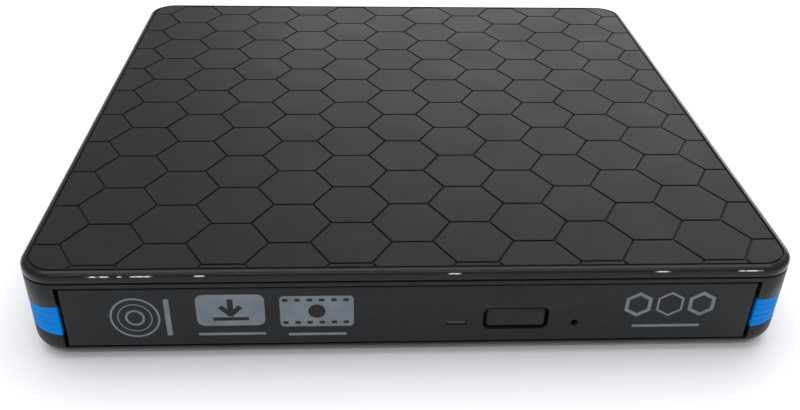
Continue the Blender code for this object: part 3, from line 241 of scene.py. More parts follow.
@dataclass(frozen=True)
class RimPaintedHighlightFinish(Finish):
    """The lid's glossy rim, with a near-white painted highlight in short stretches along its front
    edge.
    """

    # Where the painted highlight sits on the rim's rounded front edge, and its stretches along x,
    # in metres.
    highlight_front: float = -0.0694
    highlight_heights: tuple[float, float] = (0.01926, 0.01942)
    painted_highlight_tone: Colour = (0.85, 0.86, 0.90)
    reach: float = 0.0725
    highlight_spans: tuple[tuple[float, float], ...] = (
        (-0.0590, -0.0550), (-0.0535, -0.0527), (-0.0515, -0.0475), (-0.0402, -0.0380),
        (0.0058, 0.0084), (0.0446, 0.0472), (0.0602, 0.0648))

    def scuffed(self, tree: Tree, place: Socket,
                colour: Socket) -> Socket:
        """Lays the painted highlight's stretches over the rubs.

        Args:
            tree: the material's nodes.
            place: the surface's own coordinates.
            colour: the colour beneath.

        Returns:
            The socket that carries the rubbed colour with the painted highlight.
        """
        # The near-white band is a painted highlight: it stands in for a lamp's reflection in the
        # rounded front edge.
        rubbed = super().scuffed(tree, place, colour)
        parts = tree.nodes.new("ShaderNodeSeparateXYZ")
        tree.links.new(place, parts.inputs[0])
        low, high = self.highlight_heights
        soft = 0.00006
        mask = span_of(tree, parts.outputs["Z"], (low - soft, low + soft), (0.0, 1.0))
        above = span_of(tree, parts.outputs["Z"], (high - soft, high + soft), (1.0, 0.0))
        ahead = span_of(tree, parts.outputs["Y"], (self.highlight_front, self.highlight_front - soft),
                        (0.0, 1.0))
        broken = span_of(tree, noise_of(tree, place, 0.0012, 3.0), (0.36, 0.46), (0.15, 1.0))
        for other in (above, ahead, broken, self.along(tree, parts.outputs["X"])):
            mask = sum_of(tree, "MULTIPLY", mask, other)
        return cover_of(tree, mask, rubbed, self.painted_highlight_tone)

    def along(self, tree: Tree, value: Socket) -> Socket:
        """Masks the stretches of painted highlight.

        Args:
            tree: the material's nodes.
            value: the place along the rim.

        Returns:
            One inside the painted highlight's stretches, fading to nothing past their ends.
        """
        ramp = tree.nodes.new("ShaderNodeValToRGB")
        ramp.color_ramp.interpolation = "LINEAR"
        share = span_of(tree, value, (-self.reach, self.reach), (0.0, 1.0))
        tree.links.new(share, ramp.inputs["Fac"])
        stops = [(0.0, 0.0)]
        for start, end in self.highlight_spans:
            first, last = ((x + self.reach) / (2 * self.reach) for x in (start, end))
            stops += [(first, 0.0), (first + 0.004, 1.0), (last - 0.004, 1.0), (last, 0.0)]
        elements = ramp.color_ramp.elements
        elements[-1].position, elements[-1].color = 1.0, (0.0, 0.0, 0.0, 1.0)
        for position, level in stops[1:]:
            elements.new(position).color = (level, level, level, 1.0)
        return ramp.outputs["Color"]


def noise_of(tree: Tree, place: Socket, size: float,
             detail: float) -> Socket:
    """Adds a noise.

    Args:
        tree: the material's nodes.
        place: the coordinates that it reads.
        size: the size of its features, in metres.
        detail: how many finer layers it has.

    Returns:
        The noise's value.
    """
    noise = tree.nodes.new("ShaderNodeTexNoise")
    noise.inputs["Scale"].default_value = 1.0 / size
    noise.inputs["Detail"].default_value = detail
    tree.links.new(place, noise.inputs["Vector"])
    return noise.outputs["Fac"]


def span_of(tree: Tree, value: Socket, given: tuple[float, float],
            wanted: tuple[float, float]) -> Socket:
    """Maps a value from one range to another.

    Args:
        tree: the material's nodes.
        value: the socket to map.
        given: the range that comes in.
        wanted: the range that goes out.

    Returns:
        The mapped value.
    """
    span = tree.nodes.new("ShaderNodeMapRange")
    for name, number in zip(("From Min", "From Max", "To Min", "To Max"), (*given, *wanted)):
        span.inputs[name].default_value = number
    tree.links.new(value, span.inputs["Value"])
    return span.outputs["Result"]


def sum_of(tree: Tree, kind: str, first: Socket,
           second: Socket) -> Socket:
    """Joins two values.

    Args:
        tree: the material's nodes.
        kind: MULTIPLY or MAXIMUM.
        first: one value.
        second: the other value.

    Returns:
        The joined value.
    """
    node = tree.nodes.new("ShaderNodeMath")
    node.operation = kind
    tree.links.new(first, node.inputs[0])
    tree.links.new(second, node.inputs[1])
    return node.outputs[0]


def cover_of(tree: Tree, mask: Socket, beneath: Socket,
             tone: Colour) -> Socket:
    """Lays a tone over a colour.

    Args:
        tree: the material's nodes.
        mask: how far the tone covers.
        beneath: the colour beneath.
        tone: the tone.

    Returns:
        The covered colour.
    """
    mix = tree.nodes.new("ShaderNodeMix")
    mix.data_type = "RGBA"
    tree.links.new(mask, mix.inputs[0])
    tree.links.new(beneath, mix.inputs[6])
    mix.inputs[7].default_value = (*tone, 1.0)
    return mix.outputs[2]


def blend_of(tree: Tree, value: Socket, first: Colour,
             second: Colour) -> Socket:
    """Blends two colours by a value.

    Args:
        tree: the material's nodes.
        value: the share of the second colour, drawn out from its middle.
        first: the first colour.
        second: the second colour.

    Returns:
        The blended colour.
    """
    ramp = tree.nodes.new("ShaderNodeValToRGB")
    ramp.color_ramp.elements[0].position = 0.35
    ramp.color_ramp.elements[0].color = (*first, 1.0)
    ramp.color_ramp.elements[1].position = 0.65
    ramp.color_ramp.elements[1].color = (*second, 1.0)
    tree.links.new(value, ramp.inputs["Fac"])
    return ramp.outputs["Color"]


LID_SATIN = Finish("lid_satin", "lid_plastic", (0.0088, 0.0100, 0.0114), (0.0098, 0.0112, 0.0126),
                   (0.44, 0.49), specular=0.09, mottle_size=0.03, grain_size=0.00035,
                   grain_depth=0.000012, wear=0.02)
# The grooves' floor is painted darker than the lid's satin: painted shade in the grooves.
LID_GROOVE_PAINTED_SHADE = Finish("lid_groove_painted_shade", "lid_plastic", (0.0060, 0.0065, 0.0075),
                    (0.0085, 0.0090, 0.0100),
                    (0.55, 0.65), specular=0.1)
# The rim's glossy finish also carries the painted highlight along its front edge.
RIM_GLOSS = RimPaintedHighlightFinish("rim_gloss_painted_highlight", "lid_plastic", (0.0042, 0.0044, 0.0060),
                      (0.0056, 0.0058, 0.0076),
                      (0.10, 0.30), specular=0.25, mottle_size=0.022, grain_size=0.004,
                      grain_depth=0.00003, wear=0.02)
CASE_SATIN = Finish("case_satin", "case_plastic", (0.0098, 0.0104, 0.0116),
                    (0.0118, 0.0124, 0.0138),
                    (0.36, 0.46), specular=0.20, grain_size=0.0004, wear=0.02)
BEZEL_SATIN = Finish("bezel_satin", "bezel_plastic", (0.0092, 0.0096, 0.0114),
                     (0.0104, 0.0108, 0.0128),
                     (0.36, 0.46), specular=0.22, mottle_size=0.03, grain_size=0.0004)
BUTTON_SATIN = Finish("button_satin", "bezel_plastic", (0.0092, 0.0096, 0.0114),
                      (0.0104, 0.0108, 0.0128),
                      (0.32, 0.42), specular=0.25, grain_size=0.0004)
BLUE = Finish("blue_plastic", "blue_plastic", (0.0, 0.185, 0.60), (0.0, 0.205, 0.66), (0.38, 0.50),
              specular=0.08, grain_size=0.0006, mottle_size=0.006, scuff_tone=(0.10, 0.40, 0.85))
PRINT = Finish("grey_print", "bezel_plastic", (0.135, 0.160, 0.185), (0.165, 0.190, 0.220),
               (0.5, 0.62),
               specular=0.2, mottle_size=0.003, grain_size=0.0002, grain_depth=0.000004)
TRAY_PLASTIC = Finish("tray_plastic", "tray_plastic", (0.018, 0.018, 0.019), (0.026, 0.026, 0.027),
                      (0.46, 0.60), grain_size=0.0004, grain_depth=0.00002, scuff=0.10)
RUBBER = Finish("foot_rubber", "rubber", (0.012, 0.012, 0.012), (0.022, 0.022, 0.021),
                (0.80, 0.95),
                specular=0.3, grain_size=0.0003, grain_depth=0.00002, mottle_size=0.003)
PRESSED_STEEL = Finish("pressed_steel", "sheet_steel", (0.46, 0.47, 0.48), (0.56, 0.57, 0.58),
                       (0.26, 0.40),
                       metallic=1.0, grain=Grain.ALONG_X, grain_size=0.0003, grain_depth=0.000006)
BRIGHT_STEEL = Finish("bright_steel", "bright_steel", (0.62, 0.62, 0.63), (0.72, 0.72, 0.73),
                      (0.14, 0.28),
                      metallic=1.0, grain=Grain.ALONG_Y, grain_size=0.0003, grain_depth=0.000004,
                      mottle_size=0.004)
GOLD = Finish("gold_contact", "bright_steel", (0.78, 0.52, 0.16), (0.86, 0.60, 0.22), (0.20, 0.34),
              metallic=1.0, grain_size=0.0002, mottle_size=0.002)
BOARD = BoardFinish("circuit_board", "circuit_board", (0.006, 0.070, 0.030), (0.010, 0.095, 0.040),
                    (0.30, 0.42), grain_size=0.0004)
CHIP = Finish("chip_resin", "chip_black", (0.012, 0.012, 0.013), (0.020, 0.020, 0.021),
              (0.42, 0.60),
              grain_size=0.00012, grain_depth=0.000008, mottle_size=0.002)
WHITE = Finish("white_resin", "white_plastic", (0.62, 0.62, 0.58), (0.70, 0.70, 0.67),
               (0.34, 0.48),
               mottle_size=0.004, scuff=0.15, scuff_tone=(0.40, 0.40, 0.38))
HUB_GREY = Finish("hub_grey", "hub_plastic", (0.085, 0.085, 0.090), (0.110, 0.110, 0.115),
                  (0.28, 0.40),
                  mottle_size=0.004)
LENS = Finish("lens_glass", "lens_glass", (0.32, 0.42, 0.62), (0.42, 0.36, 0.66), (0.02, 0.06),
              mottle_size=0.003, grain_size=0.002, grain_depth=0.000001, clear=0.4, coat=0.6)
LAMP = Finish("lamp_clear", "lamp_clear", (0.020, 0.021, 0.022), (0.035, 0.036, 0.037),
              (0.12, 0.24),
              mottle_size=0.002, grain_size=0.0008, grain_depth=0.000004)
FLEX = Finish("flex_film", "flex_film", (0.42, 0.20, 0.05), (0.52, 0.27, 0.08), (0.28, 0.42),
              grain=Grain.ALONG_Y, grain_size=0.0006, grain_depth=0.00002)


# ------------------------------------------------------------------ the bench

class Bench:
    """The hand tools. Each leaves Blender in object mode with nothing picked but its work."""

    @staticmethod
    def take(*pieces: Obj) -> None:
        """Picks pieces and nothing else, the first as the active one.

        Args:
            pieces: the pieces to pick.
        """
        bpy.ops.object.select_all(action="DESELECT")
        for piece in pieces:
            piece.select_set(True)
        bpy.context.view_layer.objects.active = pieces[0]

    @staticmethod
    def settle(piece: Obj, name: str) -> Obj:
        """Names a piece and moves its place into its mesh.

        Args:
            piece: the piece.
            name: its name.

        Returns:
            The piece, at the origin.
        """
        piece.name = name
        piece.data.name = name
        Bench.take(piece)
        bpy.ops.object.transform_apply(location=True, rotation=True, scale=True)
        return piece

    @staticmethod
    def block(name: str, low: Sequence[float], high: Sequence[float]) -> Obj:
        """Adds a block between two corners.

        Args:
            name: its name.
            low: its lowest corner.
            high: its highest corner.

        Returns:
            The block.
        """
        middle = [(a + b) / 2 for a, b in zip(low, high)]
        bpy.ops.object.select_all(action="DESELECT")
        bpy.ops.mesh.primitive_cube_add(size=1.0, location=middle)
        bpy.context.object.scale = [b - a for a, b in zip(low, high)]
        return Bench.settle(bpy.context.object, name)

    @staticmethod
    def drum(name: str, radius: float, foot: Sequence[float], length: float, axis: str = "Z",
             sides: int = 48) -> Obj:
        """Adds a drum that runs from its foot along an axis.

        Args:
            name: its name.
            radius: its radius.
            foot: the middle of its first end.
            length: its length.
            axis: Y or Z.
            sides: the sides of its outline.

        Returns:
            The drum.
        """
        way = Vector((0, 1, 0)) if axis == "Y" else Vector((0, 0, 1))
        turn = (-math.pi / 2, 0.0, 0.0) if axis == "Y" else (0.0, 0.0, 0.0)
        bpy.ops.object.select_all(action="DESELECT")
        bpy.ops.mesh.primitive_cylinder_add(vertices=sides, radius=radius, depth=length,
                                            location=Vector(foot) + way * length / 2,
                                            rotation=turn)
        return Bench.settle(bpy.context.object, name)

    @staticmethod
    def pick(piece: Obj, kind: str, test: Callable[..., bool]) -> None:
        """Opens a piece and picks its faces or edges by a test.

        Args:
            piece: the piece.
            kind: FACE, whose test is given the face's middle and normal, or EDGE, whose test is
                given the edge's two ends.
            test: says whether one is picked.
        """
        Bench.take(piece)
        bpy.ops.object.mode_set(mode="EDIT")
        bpy.ops.mesh.select_mode(type=kind)
        bpy.ops.mesh.select_all(action="DESELECT")
        mesh = bmesh.from_edit_mesh(piece.data)
        if kind == "FACE":
            for face in mesh.faces:
                face.select_set(bool(test(face.calc_center_median(), face.normal)))
        else:
            for edge in mesh.edges:
                edge.select_set(bool(test(edge.verts[0].co, edge.verts[1].co)))
        bmesh.update_edit_mesh(piece.data)

    @staticmethod
    def round_edges(piece: Obj, test: Callable[..., bool], width: float, steps: int) -> None:
        """Rounds the edges that a test picks.

        Args:
            piece: the piece.
            test: is given an edge's two ends.
            width: the rounding's radius.
            steps: how many strips it has.
        """
        Bench.pick(piece, "EDGE", test)
        bpy.ops.mesh.bevel(offset=width, offset_type="OFFSET", segments=steps, profile=0.5,
                           affect="EDGES", clamp_overlap=False)
        bpy.ops.object.mode_set(mode="OBJECT")

    @staticmethod
    def terrace(piece: Obj, test: Callable[..., bool], *steps: tuple[float, float]) -> None:
        """Insets and raises the faces that a test picks, step by step.

        Args:
            piece: the piece.
            test: is given a face's middle and normal.
            steps: each is the width of the band that is left and how far the middle goes out.
        """
        Bench.pick(piece, "FACE", test)
        for width, rise in steps:
            bpy.ops.mesh.inset(thickness=width, depth=rise)
        bpy.ops.object.mode_set(mode="OBJECT")

    @staticmethod
    def slice(piece: Obj, point: Sequence[float], outward: Sequence[float]) -> None:
        """Cuts away what lies outside a plane, and closes the cut.

        Args:
            piece: the piece.
            point: a point on the plane.
            outward: the way that is cut away.
        """
        Bench.take(piece)
        bpy.ops.object.mode_set(mode="EDIT")
        bpy.ops.mesh.select_all(action="SELECT")
        bpy.ops.mesh.bisect(plane_co=point, plane_no=outward, use_fill=True, clear_outer=True)
        bpy.ops.object.mode_set(mode="OBJECT")

    @staticmethod
    def apply(piece: Obj, kind: str, **settings: object) -> None:
        """Puts a modifier on a piece and applies it.

        Args:
            piece: the piece.
            kind: the modifier's type.
            settings: its settings.
        """
        modifier = piece.modifiers.new(kind.lower(), kind)
        for key, value in settings.items():
            setattr(modifier, key, value)
        Bench.take(piece)
        bpy.ops.object.modifier_apply(modifier=modifier.name)

    @staticmethod
    def cut(piece: Obj, *tools: Obj, way: str = "DIFFERENCE") -> None:
        """Cuts tools out of a piece, or joins them to it, and removes them.

        Args:
            piece: the piece.
            tools: the tools.
            way: DIFFERENCE or UNION.
        """
        for tool in tools:
            Bench.apply(piece, "BOOLEAN", object=tool, operation=way, solver="EXACT")
            bpy.data.objects.remove(tool)

    @staticmethod
    def break_edges(piece: Obj, width: float, steps: int = 2, angle: float = 35.0) -> None:
        """Rounds every sharp edge a little.

        Args:
            piece: the piece.
            width: the rounding's width.
            steps: how many strips it has.
            angle: the least turn of a sharp edge, in degrees.
        """
        Bench.apply(piece, "BEVEL", width=width, segments=steps, limit_method="ANGLE",
                    angle_limit=math.radians(angle), use_clamp_overlap=True,
                    miter_outer="MITER_ARC", harden_normals=False)

    @staticmethod
    def clean(piece: Obj, gap: float = 1e-6) -> None:
        """Merges doubled points and turns the faces outwards.

        Args:
            piece: the piece.
            gap: how near doubled points lie.
        """
        Bench.take(piece)
        bpy.ops.object.mode_set(mode="EDIT")
        bpy.ops.mesh.select_all(action="SELECT")
        bpy.ops.mesh.remove_doubles(threshold=gap)
        bpy.ops.mesh.normals_make_consistent(inside=False)
        if bmesh.from_edit_mesh(piece.data).calc_volume(signed=True) < 0:
            bpy.ops.mesh.flip_normals()
        bpy.ops.object.mode_set(mode="OBJECT")

    @staticmethod
    def smooth(piece: Obj, angle: float = 32.0) -> None:
        """Shades a piece smooth across its shallow edges.

        Args:
            piece: the piece.
            angle: the least turn that stays sharp, in degrees.
        """
        Bench.take(piece)
        bpy.ops.object.shade_smooth_by_angle(angle=math.radians(angle))

    @staticmethod
    def copy(piece: Obj, name: str, shift: Sequence[float] = (0, 0, 0), turn: float = 0.0) -> Obj:
        """Copies a piece with its own mesh.

        Args:
            piece: the piece.
            name: the copy's name.
            shift: where the copy goes from the piece.
            turn: its turn about Z, in degrees, before the shift.

        Returns:
            The copy, at the origin.
        """
        made = piece.copy()
        made.data = piece.data.copy()
        bpy.context.scene.collection.objects.link(made)
        made.rotation_euler = Euler((0, 0, math.radians(turn)))
        made.location = shift
        return Bench.settle(made, name)

    @staticmethod
    def mirrored(piece: Obj, name: str) -> Obj:
        """Copies a piece to the other side of the middle.

        Args:
            piece: the piece.
            name: the copy's name.

        Returns:
            The mirrored copy, its faces outwards.
        """
        made = piece.copy()
        made.data = piece.data.copy()
        bpy.context.scene.collection.objects.link(made)
        made.scale = (-1, 1, 1)
        Bench.settle(made, name)
        Bench.clean(made)
        return made

    @staticmethod
    def join(first: Obj, rest: Iterable[Obj]) -> Obj:
        """Joins pieces into the first.

        Args:
            first: the piece that stays.
            rest: the pieces that go into it.

        Returns:
            The joined piece.
        """
        Bench.take(first, *rest)
        bpy.ops.object.join()
        return first

    @staticmethod
    def refined(node: str, name: str, width: float, angle: float = 35.0) -> Obj:
        """Makes a finer copy of a CAD node, with its points merged and its edges broken.

        Args:
            node: the node.
            name: the copy's name.
            width: the width of its broken edges, or 0.
            angle: the least turn of a sharp edge, in degrees.

        Returns:
            The copy.
        """
        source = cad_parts[node]
        made = bpy.data.objects.new(name, source.data.copy())
        made.data.materials.clear()
        bpy.context.scene.collection.objects.link(made)
        Bench.settle(made, name)
        Bench.clean(made)
        bpy.ops.object.mode_set(mode="EDIT")
        bpy.ops.mesh.select_all(action="SELECT")
        bpy.ops.mesh.dissolve_limited(angle_limit=math.radians(1.0))
        bpy.ops.object.mode_set(mode="OBJECT")
        if width:
            Bench.break_edges(made, width, 2, angle)
        Bench.smooth(made)
        return made


def place(piece: Obj, body: str, finish: Finish, nodes: Sequence[str] = (),
          keep: bool = False) -> Obj:
    """Gives a piece its finish and its body.

    Args:
        piece: the piece.
        body: the CAD body that it rides on.
        finish: its finish.
        nodes: the CAD nodes that it stands for.
        keep: whether it keeps the materials that it has.

    Returns:
        The piece.
    """
    if not keep:
        piece.data.materials.clear()
        piece.data.materials.append(finish.material())
    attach(piece, body)
    if nodes:
        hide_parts(*nodes)
    LOG.info("%s rides on %s: %d faces", piece.name, body, len(piece.data.polygons))
    return piece


def dress(node: str, finish: Finish) -> None:
    """Gives a CAD node its finish.

    Args:
        node: the node.
        finish: its finish.
    """
    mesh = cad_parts[node].data
    mesh.materials.clear()
    mesh.materials.append(finish.material())
    LOG.info("%s is dressed in %s", node, finish.name)


def upward(level: float) -> Callable[..., bool]:
    """Returns a test for faces that look up at a height."""
    return lambda middle, normal: normal.z > 0.9 and abs(middle.z - level) < NEAR


def downward(level: float) -> Callable[..., bool]:
    """Returns a test for faces that look down at a height."""
    return lambda middle, normal: normal.z < -0.9 and abs(middle.z - level) < NEAR


def upright(a: Vector, b: Vector) -> bool:
    """Says whether an edge stands upright."""
    return abs(a.x - b.x) < NEAR and abs(a.y - b.y) < NEAR


def level_at(height: float) -> Callable[..., bool]:
    """Returns a test for edges that lie at a height."""
    return lambda a, b: abs(a.z - height) < NEAR and abs(b.z - height) < NEAR


# ------------------------------------------------------------------ the case

@dataclass
class Lid:
    """The lid: a glossy rounded rim round a honeycomb of satin cells."""

    corner: float = 0.0070
    edge_round: float = 0.0011
    border: float = 0.0013
    groove_width: float = 0.00042
    groove_depth: float = 0.0003
    cell_round: float = 0.00008
    cell_side: float = 0.0078
    first_row: float = 0.0028
    lip_inset: float = 0.0025
    lip_wall: float = 0.0012
    lip_depth: float = 0.0010

    def build(self) -> Obj:
        """Models the lid.

        Returns:
            The lid.
        """
        low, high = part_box("top_cover")
        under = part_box("bottom_case")[1].z + 0.0003
        lid = Bench.block("lid", (low.x, low.y, under), high)
        Bench.round_edges(lid, upright, self.corner, 14)
        Bench.round_edges(lid, level_at(high.z), self.edge_round, 8)
        Bench.round_edges(lid, level_at(under), 0.00025, 2)
        Bench.terrace(lid, upward(high.z), (self.border - self.edge_round, 0),
                      (0.00008, -self.groove_depth))
        Bench.terrace(lid, downward(under), (self.lip_inset, 0), (0, self.lip_depth),
                      (self.lip_wall, 0),
                      (0, -self.lip_depth))
        Bench.smooth(lid)
        self.dress_rim(lid, high.z)
        cells = self.build_cells(low, high)
        Bench.join(lid, [cells])
        return place(lid, "case", LID_SATIN, ["top_cover"], keep=True)

    def dress_rim(self, lid: Obj, top: float) -> None:
        """Gives the rim its gloss and the grooves' floors a darker tone, which is painted shade.

        Args:
            lid: the lid's plate.
            top: the height of its top.
        """
        for finish in (RIM_GLOSS, LID_GROOVE_PAINTED_SHADE, LID_SATIN):
            lid.data.materials.append(finish.material())
        floor = top - self.groove_depth
        side, end = abs(lid.bound_box[0][0]) - self.border, abs(lid.bound_box[0][1]) - self.border
        inside = 0.0002
        tests = (lambda middle, normal: floor - NEAR < middle.z < top - NEAR and normal.z > 0.2
                 and abs(middle.x) < side + inside and abs(middle.y) < end + inside,
                 upward(top))
        for index, test in enumerate(tests, start=1):
            Bench.pick(lid, "FACE", test)
            lid.active_material_index = index
            bpy.ops.object.material_slot_assign()
            bpy.ops.object.mode_set(mode="OBJECT")

    def cell_places(self, low: Vector, high: Vector) -> list[tuple[float, float]]:
        """Finds the middles of the cells that show inside the border.

        Args:
            low: the lid's lowest corner.
            high: its highest corner.

        Returns:
            The (x, y) places.
        """
        reach = self.border + self.groove_width
        row = math.sqrt(3) * self.cell_side
        half_height = row / 2 - self.groove_width / 2
        radius = self.cell_side - self.groove_width / math.sqrt(3)
        places = []
        columns = math.ceil(high.x / (1.5 * self.cell_side))
        for column in range(-columns, columns + 1):
            start = low.y + self.first_row + (row / 2 if column % 2 else 0)
            x = 1.5 * self.cell_side * column
            wide = min(x + radius, high.x - reach) - max(x - radius, low.x + reach)
            for step in range(-1, math.ceil((high.y - low.y) / row) + 1):
                y = start + row * step
                tall = min(y + half_height, high.y - reach) - max(y - half_height, low.y + reach)
                if wide > 0.0006 and tall > 0.0003:
                    places.append((x, y))
        return places

    def build_cells(self, low: Vector, high: Vector) -> Obj:
        """Models the cells: one, copied over the lid, cut to the border and softened on top.

        Args:
            low: the lid's lowest corner.
            high: its highest corner.

        Returns:
            The cells as one object.
        """
        radius = self.cell_side - self.groove_width / math.sqrt(3)
        bpy.ops.object.select_all(action="DESELECT")
        depth = 1.5 * self.groove_depth
        bpy.ops.mesh.primitive_cylinder_add(vertices=6, radius=radius, depth=depth,
                                            location=(0, 0, high.z - depth / 2),
                                            rotation=(0, 0, math.pi / 6))
        first = Bench.settle(bpy.context.object, "cell")
        cells = [Bench.copy(first, f"cell_{i}", (x, y, 0))
                 for i, (x, y) in enumerate(self.cell_places(low, high))]
        bpy.data.objects.remove(first)
        field = Bench.join(cells[0], cells[1:])
        field.name = "cells"
        reach = self.border + self.groove_width
        core_x, core_y = high.x - self.corner, (high.y - low.y) / 2 - self.corner
        middle_y = (high.y + low.y) / 2
        for side in (-1, 1):
            Bench.slice(field, (side * (high.x - reach), 0, 0), (side, 0, 0))
            Bench.slice(field, (0, middle_y + side * (core_y + self.corner - reach), 0),
                        (0, side, 0))
            for end in (-1, 1):
                for degrees in (12, 26, 39, 51, 64, 78):
                    way = Vector((side * math.cos(math.radians(degrees)),
                                  end * math.sin(math.radians(degrees)), 0))
                    core = Vector((side * core_x, middle_y + end * core_y, 0))
                    Bench.slice(field, core + way * (self.corner - reach), way)
        Bench.round_edges(field, level_at(high.z), self.cell_round, 2)
        Bench.clean(field)
        Bench.smooth(field, 15)
        field.data.materials.clear()
        field.data.materials.append(LID_SATIN.material())
        return field


@dataclass
class CornerInserts:
    """The two ribbed blue strips let into the case's front corners."""

    corner: float = 0.0070
    height: float = 0.0067
    end_height: float = 0.0036
    thickness: float = 0.0012
    straight: float = 0.0050
    ribs: int = 5
    rib_depth: float = 0.00022

    def band(self, name: str, spare: float, back: float, ribbed: bool) -> Obj:
        """Models the right strip, or the tool that cuts its seat.

        Args:
            name: its name.
            spare: how much larger it is all round.
            back: how far it starts before the opening's edge.
            ribbed: whether its face has ribs.

        Returns:
            The strip.
        """
        low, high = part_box("corner_insert_right")
        middle = (low.z + high.z) / 2
        out = 0.002 if not ribbed else 0.0
        start = Vector((low.x - back, low.y - out, middle))
        half = self.height / 2 + spare
        bpy.ops.object.select_all(action="DESELECT")
        bpy.ops.mesh.primitive_plane_add(size=1.0, rotation=(0, math.pi / 2, 0),
                                         location=start + Vector((0,
                                                    (self.thickness + spare + out) / 2, 0)))
        bpy.context.object.scale = (2 * half, self.thickness + spare + out, 1)
        strip = Bench.settle(bpy.context.object, name)
        if ribbed:
            self.raise_ribs(strip, low.y)
        corner_x, corner_y = high.x - self.corner, low.y + self.corner
        if corner_x - start.x > NEAR:
            Bench.pick(strip, "FACE", lambda m, n: True)
            bpy.ops.mesh.extrude_region_move(TRANSFORM_OT_translate={"value": (corner_x - start.x,
                                                                               0, 0)})
        else:
            Bench.pick(strip, "FACE", lambda m, n: True)
        steps = 12
        bpy.ops.mesh.spin(steps=steps, angle=-math.pi / 2, center=(corner_x, corner_y, middle),
                          axis=(0, 0, 1))
        bpy.ops.mesh.extrude_region_move(TRANSFORM_OT_translate={"value": (0,
                                                                           self.straight + spare,
                                                                           0)})
        bpy.ops.object.mode_set(mode="OBJECT")
        self.taper(strip, Vector((corner_x, corner_y, middle)), spare, steps)
        Bench.clean(strip)
        return strip

    def raise_ribs(self, strip: Obj, face: float) -> None:
        """Cuts the grooves between the ribs into the strip's first outline.

        Args:
            strip: the strip's outline.
            face: the y of its outer edge.
        """
        Bench.pick(strip, "EDGE", lambda a, b: abs(a.y - face) < NEAR and abs(b.y - face) < NEAR)
        bpy.ops.mesh.subdivide(number_cuts=4 * self.ribs - 1)
        mesh = bmesh.from_edit_mesh(strip.data)
        points = sorted((v for v in mesh.verts if abs(v.co.y - face) < NEAR), key=lambda v: v.co.z)
        for number, depth in ((0, 1.0), (1, 0.25), (3, 0.25)):
            bpy.ops.mesh.select_mode(type="VERT")
            bpy.ops.mesh.select_all(action="DESELECT")
            for i, point in enumerate(points[1:-1], start=1):
                point.select_set(i % 4 == number)
            bmesh.update_edit_mesh(strip.data)
            bpy.ops.transform.translate(value=(0, self.rib_depth * depth, 0))
        bpy.ops.object.mode_set(mode="OBJECT")

    def taper(self, strip: Obj, pivot: Vector, spare: float, steps: int) -> None:
        """Draws the strip in, from its height at the opening to its height at its end.

        Args:
            strip: the strip.
            pivot: the middle of the corner's arc.
            spare: how much larger the strip is all round.
            steps: how many steps the arc has.
        """
        arc = self.corner * math.pi / 2
        stations = [i * 90.0 / steps for i in range(1, steps + 1)] + [None]
        for station in stations:
            run = arc + self.straight if station is None else arc * station / 90.0
            height = self.height + (self.end_height - self.height) * run / (arc + self.straight)
            Bench.take(strip)
            bpy.ops.object.mode_set(mode="EDIT")
            bpy.ops.mesh.select_mode(type="VERT")
            bpy.ops.mesh.select_all(action="DESELECT")
            mesh = bmesh.from_edit_mesh(strip.data)
            for point in mesh.verts:
                way = point.co - pivot
                angle = math.degrees(math.atan2(way.x, -way.y))
                straight = way.y > NEAR
                if station is None:
                    point.select_set(straight)
                else:
                    point.select_set(not straight and way.x > -NEAR and abs(angle - station) < 1.0)
            bmesh.update_edit_mesh(strip.data)
            share = (height + 2 * spare) / (self.height + 2 * spare)
            bpy.ops.transform.resize(value=(1, 1, share), center_override=pivot)
            bpy.ops.object.mode_set(mode="OBJECT")

    def build(self) -> None:
        """Models the two strips."""
        right = self.band("insert_right", 0.0, 0.0, True)
        Bench.break_edges(right, 0.00008, 2, 60)
        left = Bench.mirrored(right, "insert_left")
        for piece, node in ((right, "corner_insert_right"), (left, "corner_insert_left")):
            Bench.smooth(piece, 25)
            place(piece, "case", BLUE, [node])


